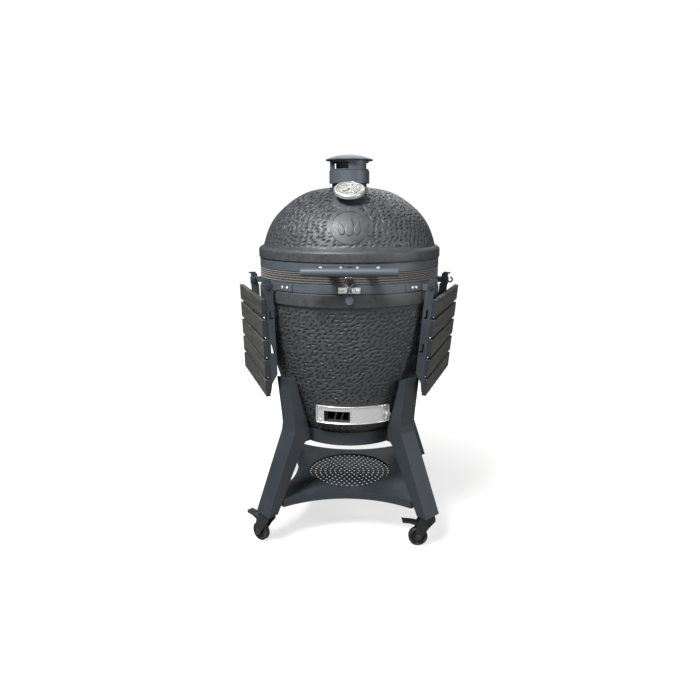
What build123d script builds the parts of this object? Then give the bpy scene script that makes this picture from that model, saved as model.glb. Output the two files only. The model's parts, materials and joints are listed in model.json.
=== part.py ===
from build123d import *
import os
from math import asin, cos, degrees, radians, sin, sqrt

# Kamado grill: an egg of thick ceramic in a four-legged cart on casters.
# Millimetres, +Z up. The origin is on the floor under the egg's axis, and the front faces -Y.

os.makedirs("parts", exist_ok=True)

FRONT = -90.0  # azimuth of the front, counted from +X towards +Y
REAR = 90.0

# Ceramic egg: (radius, height) points of the outer skins, and the rim sizes
BASE_SKIN = [(160, 305), (196, 385), (229, 480), (252, 565), (272, 665), (283, 755)]
BASE_INSIDE = [(150, 334), (172, 385), (205, 480), (228, 565), (248, 665), (259, 755)]
DOME_SKIN = [(275, 921), (250, 987), (195, 1048), (130, 1086), (57, 1100)]
DOME_INSIDE = [(252, 921), (228, 979), (177, 1028), (120, 1062), (40, 1077)]
LIP_R = 290.0
GROOVE_R = 284.0
FELT_R = 287.0
MOUTH_R = 262.0
COLLAR_Z = (759.0, 796.0)
RIM_Z = (833.5, 845.5)  # faces of the two ceramic rims, with the felts between them
FELT_MEETING_Z = (839.5, 839.8)  # the lid's felt is a hair above the base's
FELT_ENDS_Z = (824.8, 858.2)  # both felts wrap over the outside of their rims
LIP_Z = (886.5, 913.0)
FLUE_R = 40.0
NECK_R = 54.8
NECK_TOP_Z = 1128.0

# Clamp bands
BAND_R = (284.3, 287.0)
LOWER_BAND_Z = (798.0, 824.0)
UPPER_BAND_Z = (859.0, 884.0)
LUG_R = 290.0  # outer radius of the curved plates bolted on the bands

# Draft vent, as azimuths right of the front
VENT_SPAN = (-28.5, 35.0)
VENT_HOLE = (-21.5, 0.6)
VENT_HOLE_Z = (389.0, 424.0)
VENT_Z = (384.0, 440.0)
VENT_R = 214.5
DOOR_SPAN = (0.8, 29.0)
DOOR_Z = (388.5, 435.5)

# Lid hinge at the rear
HINGE_Y = 341.0
HINGE_Z = 842.0
HINGE_PIN_R = 5.0

# Handle and latch
HANDLE_Y = -340.0
HANDLE_Z = 866.0
HANDLE_R = 12.0
HANDLE_LENGTH = 268.0
LATCH_Z = 812.0  # lever pivot
LATCH_Y = -297.0
LATCH_HOOK_Z = 846.9  # bail's top wire
LATCH_CRANK = 8.5  # from the lever's pivot down to the bail's

# Damper on the flue
COLLAR_R = 63.3
SLEEVE_R = 61.0
WINDOW_ARC = 57.0
WINDOW_COUNT = 3
WINDOW_AZIMUTH = FRONT - 31.0  # centre of the window at the front
WINDOW_Z = (1155.0, 1175.0)
STACK_TOP_Z = 1172.0  # the flue pipe rises behind the windows and keeps rain out
CAP_R = 74.5
CAP_RIM_Z = 1184.5
CAP_TOP_Z = 1199.5

# Thermometer: face centre, and how far its axis stands up from the front
DIAL_CENTRE = (0, -180, 1090)
DIAL_TILT = 61.0
DIAL_R = 45.0
NEEDLE_COLD = 135.0  # pointer's rest, turned left from straight up

# Side tables
TABLE_NORMAL = -18.5  # azimuth that the right-hand table faces when it hangs
TABLE_PIVOT_N = 294.0  # pivot's distance from the axis along the normal
TABLE_PIVOT_Z = 807.0
RAIL_OFFSET = 115.0  # of both rails from the normal, along the table
RAIL_T = 3.0
SLAT_LENGTH = 400.0
SLAT_FRONT = 122.0  # slats reach this far in front of the normal
SLAT_W = 52.0
SLAT_T = 14.0
SLAT_GAP = 10.0
SLAT_COUNT = 5
SLAT_TOP_Z = 773.0
TABLE_BOLT_R = 3.95
TABLE_LEAN = {"right": 5.0, "left": 1.5}

# Cart
CART_TURN = -1.45  # the cart stands slightly turned under the egg
CORNERS = {"front_left": 225.0, "front_right": 315.0, "rear_right": 45.0, "rear_left": 135.0}
RING_R = 187.0
RING_Z = (302.0, 345.0)
LEG_W = 63.6
LEG_OUTER = [(281, 527), (266, 400), (264, 372), (267, 350), (275, 331), (376, 100)]
LEG_INNER = [(338.5, 100), (229, 304), (208, 324), (208, 361), (219, 390), (232, 426), (256, 523)]
SHEET = 2.5
SHELF_Z = 141.0
SHELF_H = 24.5
SHELF_CORNER_R = 315.0
SHELF_WAIST_R = 181.0
PAN_R = 142.0
PAN_DEPTH = 6.5
HOLE_PITCH = 17.0
HOLE_RINGS = 8
HOLE_R = 3.3
PAN_SHEET = 1.2

# Casters, and the azimuth that each one trails towards
CASTER_R = 357.0  # stem's distance from the axis
CASTER_TRAIL = 30.0
WHEEL_R = 30.0
WHEEL_W = 22.0
STEM_R = 5.0
TRAILS = {"front_left": 140.0, "front_right": 182.0, "rear_right": 172.0, "rear_left": 115.0}


def radial_plane(azimuth):
    """Upright plane through the egg's axis: x points outward at the azimuth, y up."""
    a = radians(azimuth)
    return Plane(origin=(0, 0, 0), x_dir=(cos(a), sin(a), 0), z_dir=(sin(a), -cos(a), 0))


def facing_plane(azimuth, radius, z):
    """Plane that faces outward at an azimuth, y up, at a distance from the axis."""
    a = radians(azimuth)
    origin = (radius * cos(a), radius * sin(a), z)
    return Plane(origin=origin, x_dir=(-sin(a), cos(a), 0), z_dir=(cos(a), sin(a), 0))


def polar(radius, azimuth):
    a = radians(azimuth)
    return (radius * cos(a), radius * sin(a))


def save(piece, name):
    piece.part.label = name
    export_step(piece.part, f"parts/{name}.step")


def ring_sector(r0, r1, z0, z1, start, end, mode=Mode.ADD):
    """Adds or cuts a curved plate between two azimuths, in the part being built."""
    with BuildSketch(radial_plane(start)) as section:
        with Locations(((r0 + r1) / 2, (z0 + z1) / 2)):
            Rectangle(r1 - r0, z1 - z0)
    revolve(section.sketch, axis=Axis.Z, revolution_arc=end - start, mode=mode)


def make_ring(name, r0, r1, z0, z1):
    with BuildPart() as ring:
        with BuildSketch(Plane.XY.offset(z0)):
            Circle(r1)
            Circle(r0, mode=Mode.SUBTRACT)
        extrude(amount=z1 - z0)
        chamfer(ring.edges().filter_by(GeomType.CIRCLE).group_by(Axis.Z)[-1], 0.4)
    save(ring, name)


# ---------------------------------------------------------------- ceramic egg

with BuildPart() as base_shell:
    with BuildSketch(Plane.XZ):
        with BuildLine():
            Spline(*BASE_SKIN)
            Polyline(
                BASE_SKIN[-1],
                (LIP_R, COLLAR_Z[0]),
                (LIP_R, COLLAR_Z[1]),
                (GROOVE_R, COLLAR_Z[1]),
                (GROOVE_R, RIM_Z[0]),
                (MOUTH_R, RIM_Z[0]),
                BASE_INSIDE[-1],
            )
            Spline(*reversed(BASE_INSIDE))
            Polyline(BASE_INSIDE[0], (0, BASE_INSIDE[0][1]), (0, BASE_SKIN[0][1]), BASE_SKIN[0])
        make_face()
    revolve(axis=Axis.Z)
    # boss that the flat-sided vent frame is screwed on
    with BuildSketch(radial_plane(FRONT + VENT_SPAN[0] - 1)):
        Polygon((185, 381), (VENT_R - 0.3, 381), (VENT_R - 0.3, 442), (205, 442), align=None)
    revolve(axis=Axis.Z, revolution_arc=VENT_SPAN[1] - VENT_SPAN[0] + 2)
    ring_sector(VENT_R - 0.3, 240, 381, 443, FRONT + VENT_SPAN[0] - 1, FRONT + VENT_SPAN[1] + 1,
                Mode.SUBTRACT)
    ring_sector(150, 230, *VENT_HOLE_Z, FRONT + VENT_HOLE[0], FRONT + VENT_HOLE[1], Mode.SUBTRACT)
save(base_shell, "base_shell")

dial_a = radians(DIAL_TILT)
dial_axis = Vector(0, -cos(dial_a), sin(dial_a))
dial_plane = Plane(origin=DIAL_CENTRE, x_dir=(1, 0, 0), z_dir=dial_axis)

with BuildPart() as dome_shell:
    with BuildSketch(Plane.XZ):
        with BuildLine():
            Spline(*DOME_SKIN)
            Polyline(
                DOME_SKIN[-1],
                (NECK_R, DOME_SKIN[-1][1] + 3),
                (NECK_R, NECK_TOP_Z),
                (FLUE_R, NECK_TOP_Z),
                DOME_INSIDE[-1],
            )
            Spline(*reversed(DOME_INSIDE))
            Polyline(
                DOME_INSIDE[0],
                (MOUTH_R, LIP_Z[0]),
                (MOUTH_R, RIM_Z[1]),
                (GROOVE_R, RIM_Z[1]),
                (GROOVE_R, LIP_Z[0]),
                (LIP_R, LIP_Z[0]),
                (LIP_R, LIP_Z[1]),
                (282, DOME_SKIN[0][1]),
                DOME_SKIN[0],
            )
        make_face()
    revolve(axis=Axis.Z)
    # hole for the thermometer's stem
    with BuildSketch(dial_plane):
        Circle(5)
    extrude(amount=-80, mode=Mode.SUBTRACT)
save(dome_shell, "dome_shell")


def make_felt(name, rim_z, meeting_z, end_z):
    """Felt that covers a rim's face and wraps over its outside."""
    with BuildPart() as felt:
        with BuildSketch(Plane.XZ):
            Polygon(
                (MOUTH_R + 2, rim_z), (GROOVE_R + 0.1, rim_z), (GROOVE_R + 0.1, end_z), (FELT_R, end_z),
                (FELT_R, meeting_z), (MOUTH_R + 2, meeting_z), align=None,
            )
        revolve(axis=Axis.Z)
    save(felt, name)


make_felt("base_gasket", RIM_Z[0], FELT_MEETING_Z[0], FELT_ENDS_Z[0])
make_felt("dome_gasket", RIM_Z[1], FELT_MEETING_Z[1], FELT_ENDS_Z[1])
make_ring("lower_band", *BAND_R, *LOWER_BAND_Z)
make_ring("upper_band", *BAND_R, *UPPER_BAND_Z)

# ---------------------------------------------------------------- inside the egg

FIREBOX_BOTTOM = (140, 334)
FIREBOX_TOP = (226, 606)
FIREBOX_FLOOR_Z = 440.0

with BuildPart() as firebox:
    with BuildSketch(Plane.XZ):
        with BuildLine():
            Polyline(
                FIREBOX_BOTTOM,
                FIREBOX_TOP,
                (FIREBOX_TOP[0] - 22, FIREBOX_TOP[1]),
                (150, FIREBOX_FLOOR_Z),
                (110, FIREBOX_FLOOR_Z),
                (110, FIREBOX_FLOOR_Z - 20),
                (140, FIREBOX_FLOOR_Z - 20),
                (122, FIREBOX_BOTTOM[1]),
                close=True,
            )
        make_face()
    revolve(axis=Axis.Z)
    # ash and air pass through the front of the skirt
    ring_sector(100, 200, 352, 419, FRONT - 32, FRONT + 12, Mode.SUBTRACT)
save(firebox, "firebox")

make_ring("fire_ring", 204, 230, 606, 764)

with BuildPart() as fire_grate:
    with BuildSketch(Plane.XY.offset(FIREBOX_FLOOR_Z)):
        Circle(145)
        for ring in range(1, 6):
            with PolarLocations(ring * 25, ring * 6):
                Circle(7, mode=Mode.SUBTRACT)
    extrude(amount=8)
save(fire_grate, "fire_grate")

GRID_R = 232.0
GRID_Z = (765.0, 771.0)
GRID_PITCH = 20.0
with BuildPart() as cooking_grid:
    with BuildSketch(Plane.XY.offset(GRID_Z[0])):
        Circle(GRID_R)
        Circle(GRID_R - 8, mode=Mode.SUBTRACT)
        for row in range(-10, 11):
            reach = sqrt((GRID_R - 4) ** 2 - (row * GRID_PITCH) ** 2)
            with Locations((row * GRID_PITCH, 0)):
                Rectangle(5, 2 * reach)
        for y in (-110, 110):
            with Locations((0, y)):
                Rectangle(2 * sqrt((GRID_R - 4) ** 2 - y**2), 6)
    extrude(amount=GRID_Z[1] - GRID_Z[0])
save(cooking_grid, "cooking_grid")

# ---------------------------------------------------------------- damper

with BuildPart() as damper_base:
    with BuildSketch(Plane.XZ):
        Polygon(
            (COLLAR_R, 1112), (COLLAR_R, 1150), (57.6, 1150), (57.6, 1178), (55.2, 1178), (55.2, 1132),
            (FLUE_R + 2, 1132), (FLUE_R + 2, STACK_TOP_Z), (FLUE_R, STACK_TOP_Z),
            (FLUE_R, NECK_TOP_Z), (NECK_R + 0.4, NECK_TOP_Z), (NECK_R + 0.4, 1112),
            align=None,
        )
    revolve(axis=Axis.Z)
    for window in range(WINDOW_COUNT):
        start = WINDOW_AZIMUTH - WINDOW_ARC / 2 + window * 360 / WINDOW_COUNT
        ring_sector(54, 58, *WINDOW_Z, start, start + WINDOW_ARC, Mode.SUBTRACT)
save(damper_base, "damper_base")

with BuildPart() as damper_sleeve:
    with BuildSketch(Plane.XZ):
        Polygon(
            (58.0, 1150.6), (SLEEVE_R - 1, 1150.6), (SLEEVE_R, 1153), (SLEEVE_R, 1181),
            (0, 1181), (0, 1179), (58.0, 1179), align=None,
        )
    revolve(axis=Axis.Z)
    for window in range(WINDOW_COUNT):
        start = WINDOW_AZIMUTH - WINDOW_ARC / 2 + window * 360 / WINDOW_COUNT
        ring_sector(57, 62, *WINDOW_Z, start, start + WINDOW_ARC, Mode.SUBTRACT)
save(damper_sleeve, "damper_sleeve")

crown_r = (CAP_R**2 + (CAP_TOP_Z - CAP_RIM_Z) ** 2) / (2 * (CAP_TOP_Z - CAP_RIM_Z))
with BuildPart() as damper_cap:
    with BuildSketch(Plane.XZ):
        with BuildLine():
            Polyline((0, CAP_TOP_Z), (0, 1181), (CAP_R - 1, 1181), (CAP_R, 1182), (CAP_R, CAP_RIM_Z))
            halfway = CAP_TOP_Z - crown_r + sqrt(crown_r**2 - CAP_R**2 / 4)
            ThreePointArc((CAP_R, CAP_RIM_Z), (CAP_R / 2, halfway), (0, CAP_TOP_Z))
        make_face()
    revolve(axis=Axis.Z)
save(damper_cap, "damper_cap")

# ---------------------------------------------------------------- thermometer

with BuildPart() as thermometer_case:
    for radius, low, high in ((DIAL_R - 4, -9, -1), (16, -23, -9), (4, -150, -23)):
        with BuildSketch(dial_plane.offset(low)):
            Circle(radius)
        extrude(amount=high - low)
save(thermometer_case, "thermometer_case")

with BuildPart() as thermometer_bezel:
    for inner, low, high in ((DIAL_R - 3.8, -9, 0), (DIAL_R - 8, 0, 4)):
        with BuildSketch(dial_plane.offset(low)):
            Circle(DIAL_R)
            Circle(inner, mode=Mode.SUBTRACT)
        extrude(amount=high - low)
save(thermometer_bezel, "thermometer_bezel")

with BuildPart() as thermometer_dial:
    with BuildSketch(dial_plane.offset(-1)):
        Circle(DIAL_R - 4.3)
    extrude(amount=1)
save(thermometer_dial, "thermometer_dial")

with BuildPart() as thermometer_needle:
    with BuildSketch(dial_plane.offset(0.6)):
        Circle(3.5)
        with Locations(Location((0, 0), NEEDLE_COLD)):
            Polygon((1.6, 0), (-1.6, 0), (-0.6, 28), (0.6, 28), align=None)
    extrude(amount=0.8)
save(thermometer_needle, "thermometer_needle")

with BuildPart() as thermometer_glass:
    with BuildSketch(dial_plane.offset(2)):
        Circle(DIAL_R - 8)
    extrude(amount=1.2)
save(thermometer_glass, "thermometer_glass")

# ---------------------------------------------------------------- lid hinge


def hinge_leaf(name, band_z, ear_x, ear_foot):
    """A curved plate on a band, with a pair of ears that carry the hinge pin."""
    with BuildPart() as leaf:
        ring_sector(BAND_R[1], LUG_R, *band_z, REAR - 11, REAR + 11)
        foot_y = sqrt(LUG_R**2 - ear_x**2) - 2
        for side in (-1, 1):
            with BuildSketch(Plane.YZ.offset(side * ear_x - 2)):
                with BuildLine():
                    Polyline(
                        (foot_y, ear_foot[0]),
                        (HINGE_Y, HINGE_Z - 11 if ear_foot[0] < HINGE_Z - 11 else HINGE_Z + 11),
                        (HINGE_Y, HINGE_Z + 11 if ear_foot[0] < HINGE_Z - 11 else HINGE_Z - 11),
                        (foot_y, ear_foot[1]),
                        close=True,
                    )
                make_face()
                with Locations((HINGE_Y, HINGE_Z)):
                    Circle(11)
                    Circle(HINGE_PIN_R + 0.05, mode=Mode.SUBTRACT)
            extrude(amount=4)
    save(leaf, name)


hinge_leaf("hinge_base", (800, 822), 48, (801, 821))
hinge_leaf("hinge_lid", (861, 882), 41, (881, 862))

with BuildPart() as hinge_pin:
    for radius, low, high in ((HINGE_PIN_R, -51, 51), (8, 51, 54), (8, -54, -51)):
        with BuildSketch(Plane.YZ.offset(low)):
            with Locations((HINGE_Y, HINGE_Z)):
                Circle(radius)
        extrude(amount=high - low)
save(hinge_pin, "hinge_pin")

with BuildPart() as hinge_springs:
    for low in (-37, 5):
        with BuildSketch(Plane.YZ.offset(low)):
            with Locations((HINGE_Y, HINGE_Z)):
                Circle(10.5)
                Circle(6.5, mode=Mode.SUBTRACT)
        extrude(amount=32)
save(hinge_springs, "hinge_springs")

# ---------------------------------------------------------------- handle

with BuildPart() as handle_bar:
    with BuildSketch(Plane.YZ.offset(-HANDLE_LENGTH / 2)):
        with Locations((HANDLE_Y, HANDLE_Z)):
            Circle(HANDLE_R)
    extrude(amount=HANDLE_LENGTH)
    fillet(handle_bar.edges().filter_by(GeomType.CIRCLE), 2)
save(handle_bar, "handle_bar")

HANDLE_FEET = (4.7, 16.4)  # azimuths of each bracket's screws, off the front
with BuildPart() as handle_brackets:
    for side in (-1, 1):
        ends = sorted((side * (HANDLE_FEET[0] - 1.4), side * (HANDLE_FEET[1] + 1.8)))
        ring_sector(BAND_R[1], LUG_R, 862, 881, FRONT + ends[0], FRONT + ends[1])
        with BuildSketch(Plane.XY.offset(864)):
            with Locations((side * 53, -309)):
                Rectangle(30, 48)
        extrude(amount=4)
    with BuildSketch(Plane.XY.offset(860)):
        Circle(BAND_R[1])
    extrude(amount=25, mode=Mode.SUBTRACT)
    with BuildSketch(Plane.YZ.offset(-HANDLE_LENGTH / 2)):
        with Locations((HANDLE_Y, HANDLE_Z)):
            Circle(HANDLE_R)
    extrude(amount=HANDLE_LENGTH, mode=Mode.SUBTRACT)
save(handle_brackets, "handle_brackets")

# ---------------------------------------------------------------- latch

LATCH_PLATE_Y = -289.3
with BuildPart() as latch_plate:
    with BuildSketch(Plane.XZ.offset(-LATCH_PLATE_Y)):
        with Locations((0, 809.5)):
            Rectangle(63, 16.5)
    extrude(amount=-2)
    for x in (-9.5, 8):
        with BuildSketch(Plane.YZ.offset(x)):
            Polygon((-288.5, 804), (-288.5, 817.5), (-300, 816), (-300.5, 808), align=None)
        extrude(amount=1.5)
    for x in (-9.6, 4.6):
        with BuildSketch(Plane.YZ.offset(x)):
            with Locations((LATCH_Y, LATCH_Z)):
                Circle(1.5)
        extrude(amount=5)
save(latch_plate, "latch_plate")

with BuildPart() as latch_lever:
    with BuildSketch(Plane.XZ.offset(-LATCH_Y - 2.5)):
        with Locations((0, 781.5)):
            Circle(12)
    extrude(amount=5)
    chamfer(latch_lever.edges().filter_by(GeomType.CIRCLE), 1)
    for x in (-6.6, 4.6):
        with BuildSketch(Plane.YZ.offset(x)):
            with Locations((LATCH_Y, LATCH_Z)):
                Circle(3)
            with Locations((LATCH_Y, (LATCH_Z + 790) / 2)):
                Rectangle(5, LATCH_Z - 790)
            with Locations((LATCH_Y, LATCH_Z)):
                Circle(1.55, mode=Mode.SUBTRACT)
            with Locations((LATCH_Y, LATCH_Z - LATCH_CRANK)):
                Circle(1.55, mode=Mode.SUBTRACT)
        extrude(amount=2)
save(latch_lever, "latch_lever")

BAIL_R = 1.5
bail_low_z = LATCH_Z - LATCH_CRANK
with BuildPart() as latch_bail:
    with BuildLine():
        bail_path = FilletPolyline(
            (-7.4, LATCH_Y, bail_low_z),
            (-2.5, LATCH_Y, bail_low_z),
            (-2.5, LATCH_Y, 820.5),
            (-11, LATCH_Y, 829),
            (-11, LATCH_Y, LATCH_HOOK_Z),
            (11, LATCH_Y, LATCH_HOOK_Z),
            (11, LATCH_Y, 829),
            (2.5, LATCH_Y, 820.5),
            (2.5, LATCH_Y, bail_low_z),
            (7.4, LATCH_Y, bail_low_z),
            radius=2,
        )
    with BuildSketch(Plane(origin=bail_path @ 0, z_dir=bail_path % 0)):
        Circle(BAIL_R)
    sweep()
save(latch_bail, "latch_bail")

with BuildPart() as latch_catch:
    with BuildSketch(Plane.YZ.offset(-7.5)):
        Polygon(
            (-287.1, 862), (-287.1, 878), (-289.6, 878), (-289.6, 862), (-293, 856), (-293, 845),
            (-305.5, 845), (-305.8, 845.9), (-307.8, 845.9), (-307.8, 842.5), (-293, 842.5),
            (-293, 829), (-290.5, 829), (-290.5, 855), align=None,
        )
    extrude(amount=15)
save(latch_catch, "latch_catch")

# ---------------------------------------------------------------- draft vent

with BuildPart() as vent_frame:
    ring_sector(VENT_R, VENT_R + 1.5, *VENT_Z, FRONT + VENT_SPAN[0], FRONT + VENT_SPAN[1])
    for low, high in ((VENT_Z[0], VENT_Z[0] + 4), (VENT_Z[1] - 4, VENT_Z[1])):
        ring_sector(VENT_R, VENT_R + 5, low, high, FRONT + VENT_HOLE[0] - 1, FRONT + DOOR_SPAN[1] + 1)
    ring_sector(VENT_R - 1, VENT_R + 2, *VENT_HOLE_Z, FRONT + VENT_HOLE[0], FRONT + VENT_HOLE[1],
                Mode.SUBTRACT)
save(vent_frame, "vent_frame")

KNOB_AZIMUTH = FRONT + 32.6
KNOB_Z = 409.0
with BuildPart() as vent_door:
    ring_sector(VENT_R + 2, VENT_R + 3.5, *DOOR_Z, FRONT + DOOR_SPAN[0], FRONT + DOOR_SPAN[1])
    ring_sector(VENT_R + 2, VENT_R + 3.5, KNOB_Z - 6, KNOB_Z + 6, FRONT + DOOR_SPAN[1] - 1,
                KNOB_AZIMUTH + 1)
save(vent_door, "vent_door")

with BuildPart() as vent_knob:
    with BuildSketch(facing_plane(KNOB_AZIMUTH, VENT_R + 3.6, KNOB_Z)):
        Circle(4.5)
    extrude(amount=5)
    with BuildSketch(facing_plane(KNOB_AZIMUTH, VENT_R + 8.6, KNOB_Z)):
        Circle(8.5)
    extrude(amount=5)
    fillet(vent_knob.edges().filter_by(GeomType.CIRCLE).filter_by(lambda e: e.radius > 8), 1.2)
save(vent_knob, "vent_knob")

with BuildPart() as ash_screen:
    ring_sector(197, 199, VENT_HOLE_Z[0], VENT_HOLE_Z[1] - 1, FRONT + VENT_HOLE[0] + 0.3,
                FRONT + VENT_HOLE[1] - 0.3)
    # three slanted windows, which leave two slanted bars
    low = VENT_HOLE_Z[0] + 3
    high = VENT_HOLE_Z[1] - 4
    with BuildSketch(facing_plane(FRONT + sum(VENT_HOLE) / 2, 230, 0)):
        Polygon((-34, low), (-13, low), (-5, high), (-34, high), align=None)
        Polygon((-9, low), (9, low), (17, high), (-1, high), align=None)
        Polygon((13, low), (34, low), (34, high), (21, high), align=None)
    extrude(amount=-60, mode=Mode.SUBTRACT)
save(ash_screen, "ash_screen")

# ---------------------------------------------------------------- side tables

rail_plane = radial_plane(TABLE_NORMAL)
RAIL_PROFILE = [
    (-12, -12), (-12, 16), (-5, 25), (16, 25), (16, 21), (8, 19), (11, 15), (8, 11), (12, 8),
    (12, -12), (10, -18), (10, -325), (7, -325), (2, -297), (-16, -268), (-16, -18),
]
RAIL_SLOTS_B = (-96, -201)  # foot of each slot, below the pivot

with BuildPart() as upright_rails:
    for inner, outward in ((RAIL_OFFSET - RAIL_T / 2, 1), (-RAIL_OFFSET + RAIL_T / 2, -1)):
        with BuildSketch(rail_plane.offset(inner)):
            with Locations((TABLE_PIVOT_N, TABLE_PIVOT_Z)):
                Polygon(*RAIL_PROFILE, align=None)
                Circle(4, mode=Mode.SUBTRACT)
            for foot in RAIL_SLOTS_B:
                with Locations((TABLE_PIVOT_N - 3, TABLE_PIVOT_Z + foot + 14)):
                    Rectangle(5, 28, mode=Mode.SUBTRACT)
                with Locations((TABLE_PIVOT_N - 6, TABLE_PIVOT_Z + foot + 2.5)):
                    Rectangle(11, 5, mode=Mode.SUBTRACT)
        extrude(amount=outward * RAIL_T)
        # flange that the slats are screwed to
        with BuildSketch(rail_plane.offset(inner)):
            with Locations((TABLE_PIVOT_N + 8.5, TABLE_PIVOT_Z - 182)):
                Rectangle(3, 290)
        extrude(amount=-outward * 18)

with BuildPart() as upright_slats:
    with BuildSketch(rail_plane.offset(SLAT_FRONT)):
        for slat in range(SLAT_COUNT):
            z = SLAT_TOP_Z - SLAT_W / 2 - slat * (SLAT_W + SLAT_GAP)
            with Locations((TABLE_PIVOT_N + 10 + SLAT_T / 2, z)):
                RectangleRounded(SLAT_T, SLAT_W, 1.5)
    extrude(amount=-SLAT_LENGTH)

# each table hangs from its pivots and leans in by its own small angle
table_a = radians(TABLE_NORMAL)
pivot = (TABLE_PIVOT_N * cos(table_a), TABLE_PIVOT_N * sin(table_a), TABLE_PIVOT_Z)
pivot_axis = Axis(pivot, (-sin(table_a), cos(table_a), 0))
for upright, kind in ((upright_rails, "rails"), (upright_slats, "slats")):
    with BuildPart() as right_half:
        add(upright.part.rotate(pivot_axis, TABLE_LEAN["right"]))
    save(right_half, f"right_table_{kind}")
    with BuildPart() as left_half:
        mirror(upright.part.rotate(pivot_axis, TABLE_LEAN["left"]), about=Plane.YZ)
    save(left_half, f"left_table_{kind}")

ARM_T = 3.0
ARM_INNER = RAIL_OFFSET - RAIL_T / 2 - 0.8  # arm's face next to the rail
BRACKET_BOLTS = (28.5, 32.5)  # azimuths of the bolts, off the table's normal
arm_foot = degrees(asin(ARM_INNER / LUG_R))

with BuildPart() as right_brackets:
    for outward in (-1, 1):
        ends = sorted((outward * (arm_foot - 0.3), outward * (BRACKET_BOLTS[1] + 4)))
        ring_sector(BAND_R[1], LUG_R, 799, 819, TABLE_NORMAL + ends[0], TABLE_NORMAL + ends[1])
        with BuildSketch(rail_plane.offset(-outward * ARM_INNER)):
            with Locations((TABLE_PIVOT_N, TABLE_PIVOT_Z)):
                Circle(9.5)
            with Locations(((TABLE_PIVOT_N + 266.8) / 2, TABLE_PIVOT_Z)):
                Rectangle(TABLE_PIVOT_N - 266.8, 19)
            with Locations((TABLE_PIVOT_N, TABLE_PIVOT_Z)):
                Circle(TABLE_BOLT_R, mode=Mode.SUBTRACT)
        extrude(amount=outward * ARM_T)
with BuildPart() as table_brackets:
    add(right_brackets.part)
    mirror(right_brackets.part, about=Plane.YZ)
save(table_brackets, "table_brackets")

with BuildPart() as right_bolts:
    for outward in (-1, 1):
        for radius, near, far in ((7, 105.6, 109.4), (TABLE_BOLT_R, 109.4, 117.1), (7, 117.1, 120)):
            with BuildSketch(rail_plane.offset(-outward * near)):
                with Locations((TABLE_PIVOT_N, TABLE_PIVOT_Z)):
                    Circle(radius)
            extrude(amount=-outward * (far - near))
with BuildPart() as table_bolts:
    add(right_bolts.part)
    mirror(right_bolts.part, about=Plane.YZ)
save(table_bolts, "table_bolts")

HOOK_R = 10.0
with BuildPart() as tool_hook:
    with BuildSketch(rail_plane.offset(-ARM_INNER)):
        with Locations((TABLE_PIVOT_N + 18, TABLE_PIVOT_Z)):
            Circle(HOOK_R)
            Circle(HOOK_R / 2, mode=Mode.SUBTRACT)
        with Locations((TABLE_PIVOT_N + 18, TABLE_PIVOT_Z + 3)):
            Rectangle(HOOK_R + 1, 14, align=(Align.MAX, Align.MIN), mode=Mode.SUBTRACT)
        with Locations((TABLE_PIVOT_N, TABLE_PIVOT_Z)):
            Circle(9.5, mode=Mode.SUBTRACT)
    extrude(amount=ARM_T)
save(tool_hook, "tool_hook")

# ---------------------------------------------------------------- screws on the egg


def screw_head(azimuth, radius, z, head_r=4.2):
    """Adds a button head that faces outward, in the part being built."""
    with BuildSketch(facing_plane(azimuth, radius, z)) as head:
        Circle(head_r)
    extrude(head.sketch, amount=2.6, taper=12)


with BuildPart() as lid_screws:
    for side in (-1, 1):
        for foot in HANDLE_FEET:
            screw_head(FRONT + side * foot, LUG_R, 871.5)
        screw_head(REAR + side * 3, LUG_R, 871.5)
save(lid_screws, "lid_screws")

with BuildPart() as base_screws:
    for side in (-1, 1):
        screw_head(REAR + side * 4, LUG_R, 811)
        for bolt in BRACKET_BOLTS:
            screw_head(TABLE_NORMAL + side * bolt, LUG_R, 809)
            screw_head(180 - TABLE_NORMAL + side * bolt, LUG_R, 809)
        with BuildSketch(Plane.XZ.offset(-LATCH_PLATE_Y)):
            with Locations((side * 21.6, 809.5)):
                Circle(4.2)
        extrude(amount=2.2, taper=12)
    for azimuth in (VENT_SPAN[0] + 2.9, VENT_SPAN[1] - 2.6):
        for z in (VENT_Z[0] + 9, VENT_Z[1] - 9):
            screw_head(FRONT + azimuth, VENT_R + 1.5, z, 4)
save(base_screws, "base_screws")

# ---------------------------------------------------------------- cart

with BuildPart() as cart_ring:
    with BuildSketch(Plane.XZ):
        Polygon(
            (RING_R, RING_Z[0]), (RING_R, RING_Z[1]), (RING_R - 3, RING_Z[1]), (RING_R - 3, 305),
            (150, 305), (150, RING_Z[0]), align=None,
        )
    revolve(axis=Axis.Z)
    for azimuth in CORNERS.values():
        for side in (-1, 1):
            with BuildSketch(radial_plane(azimuth + CART_TURN).offset(side * 18 - 2)):
                Polygon((RING_R - 1.6, RING_Z[1]), (208, RING_Z[1]), (208, 324), (226.9, 306),
                        (RING_R - 1.6, 306), align=None)
                with Locations((198, 333)):
                    Circle(4, mode=Mode.SUBTRACT)
            extrude(amount=4)
save(cart_ring, "cart_ring")

for corner, azimuth in CORNERS.items():
    with BuildPart() as leg:
        upright = radial_plane(azimuth + CART_TURN)
        with BuildSketch(upright):
            Polygon(*LEG_OUTER, *LEG_INNER, align=None)
        extrude(amount=LEG_W / 2, both=True)
        with BuildSketch(upright):
            Polygon(*LEG_OUTER, *LEG_INNER, align=None)
            offset(amount=-SHEET, kind=Kind.INTERSECTION)
        extrude(amount=LEG_W / 2 - SHEET, both=True, mode=Mode.SUBTRACT)
        with BuildSketch(Plane.XY.offset(99)):
            with Locations(polar(CASTER_R, azimuth + CART_TURN)):
                Circle(STEM_R + 0.05)
        extrude(amount=6, mode=Mode.SUBTRACT)
    save(leg, f"leg_{corner}")

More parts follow.
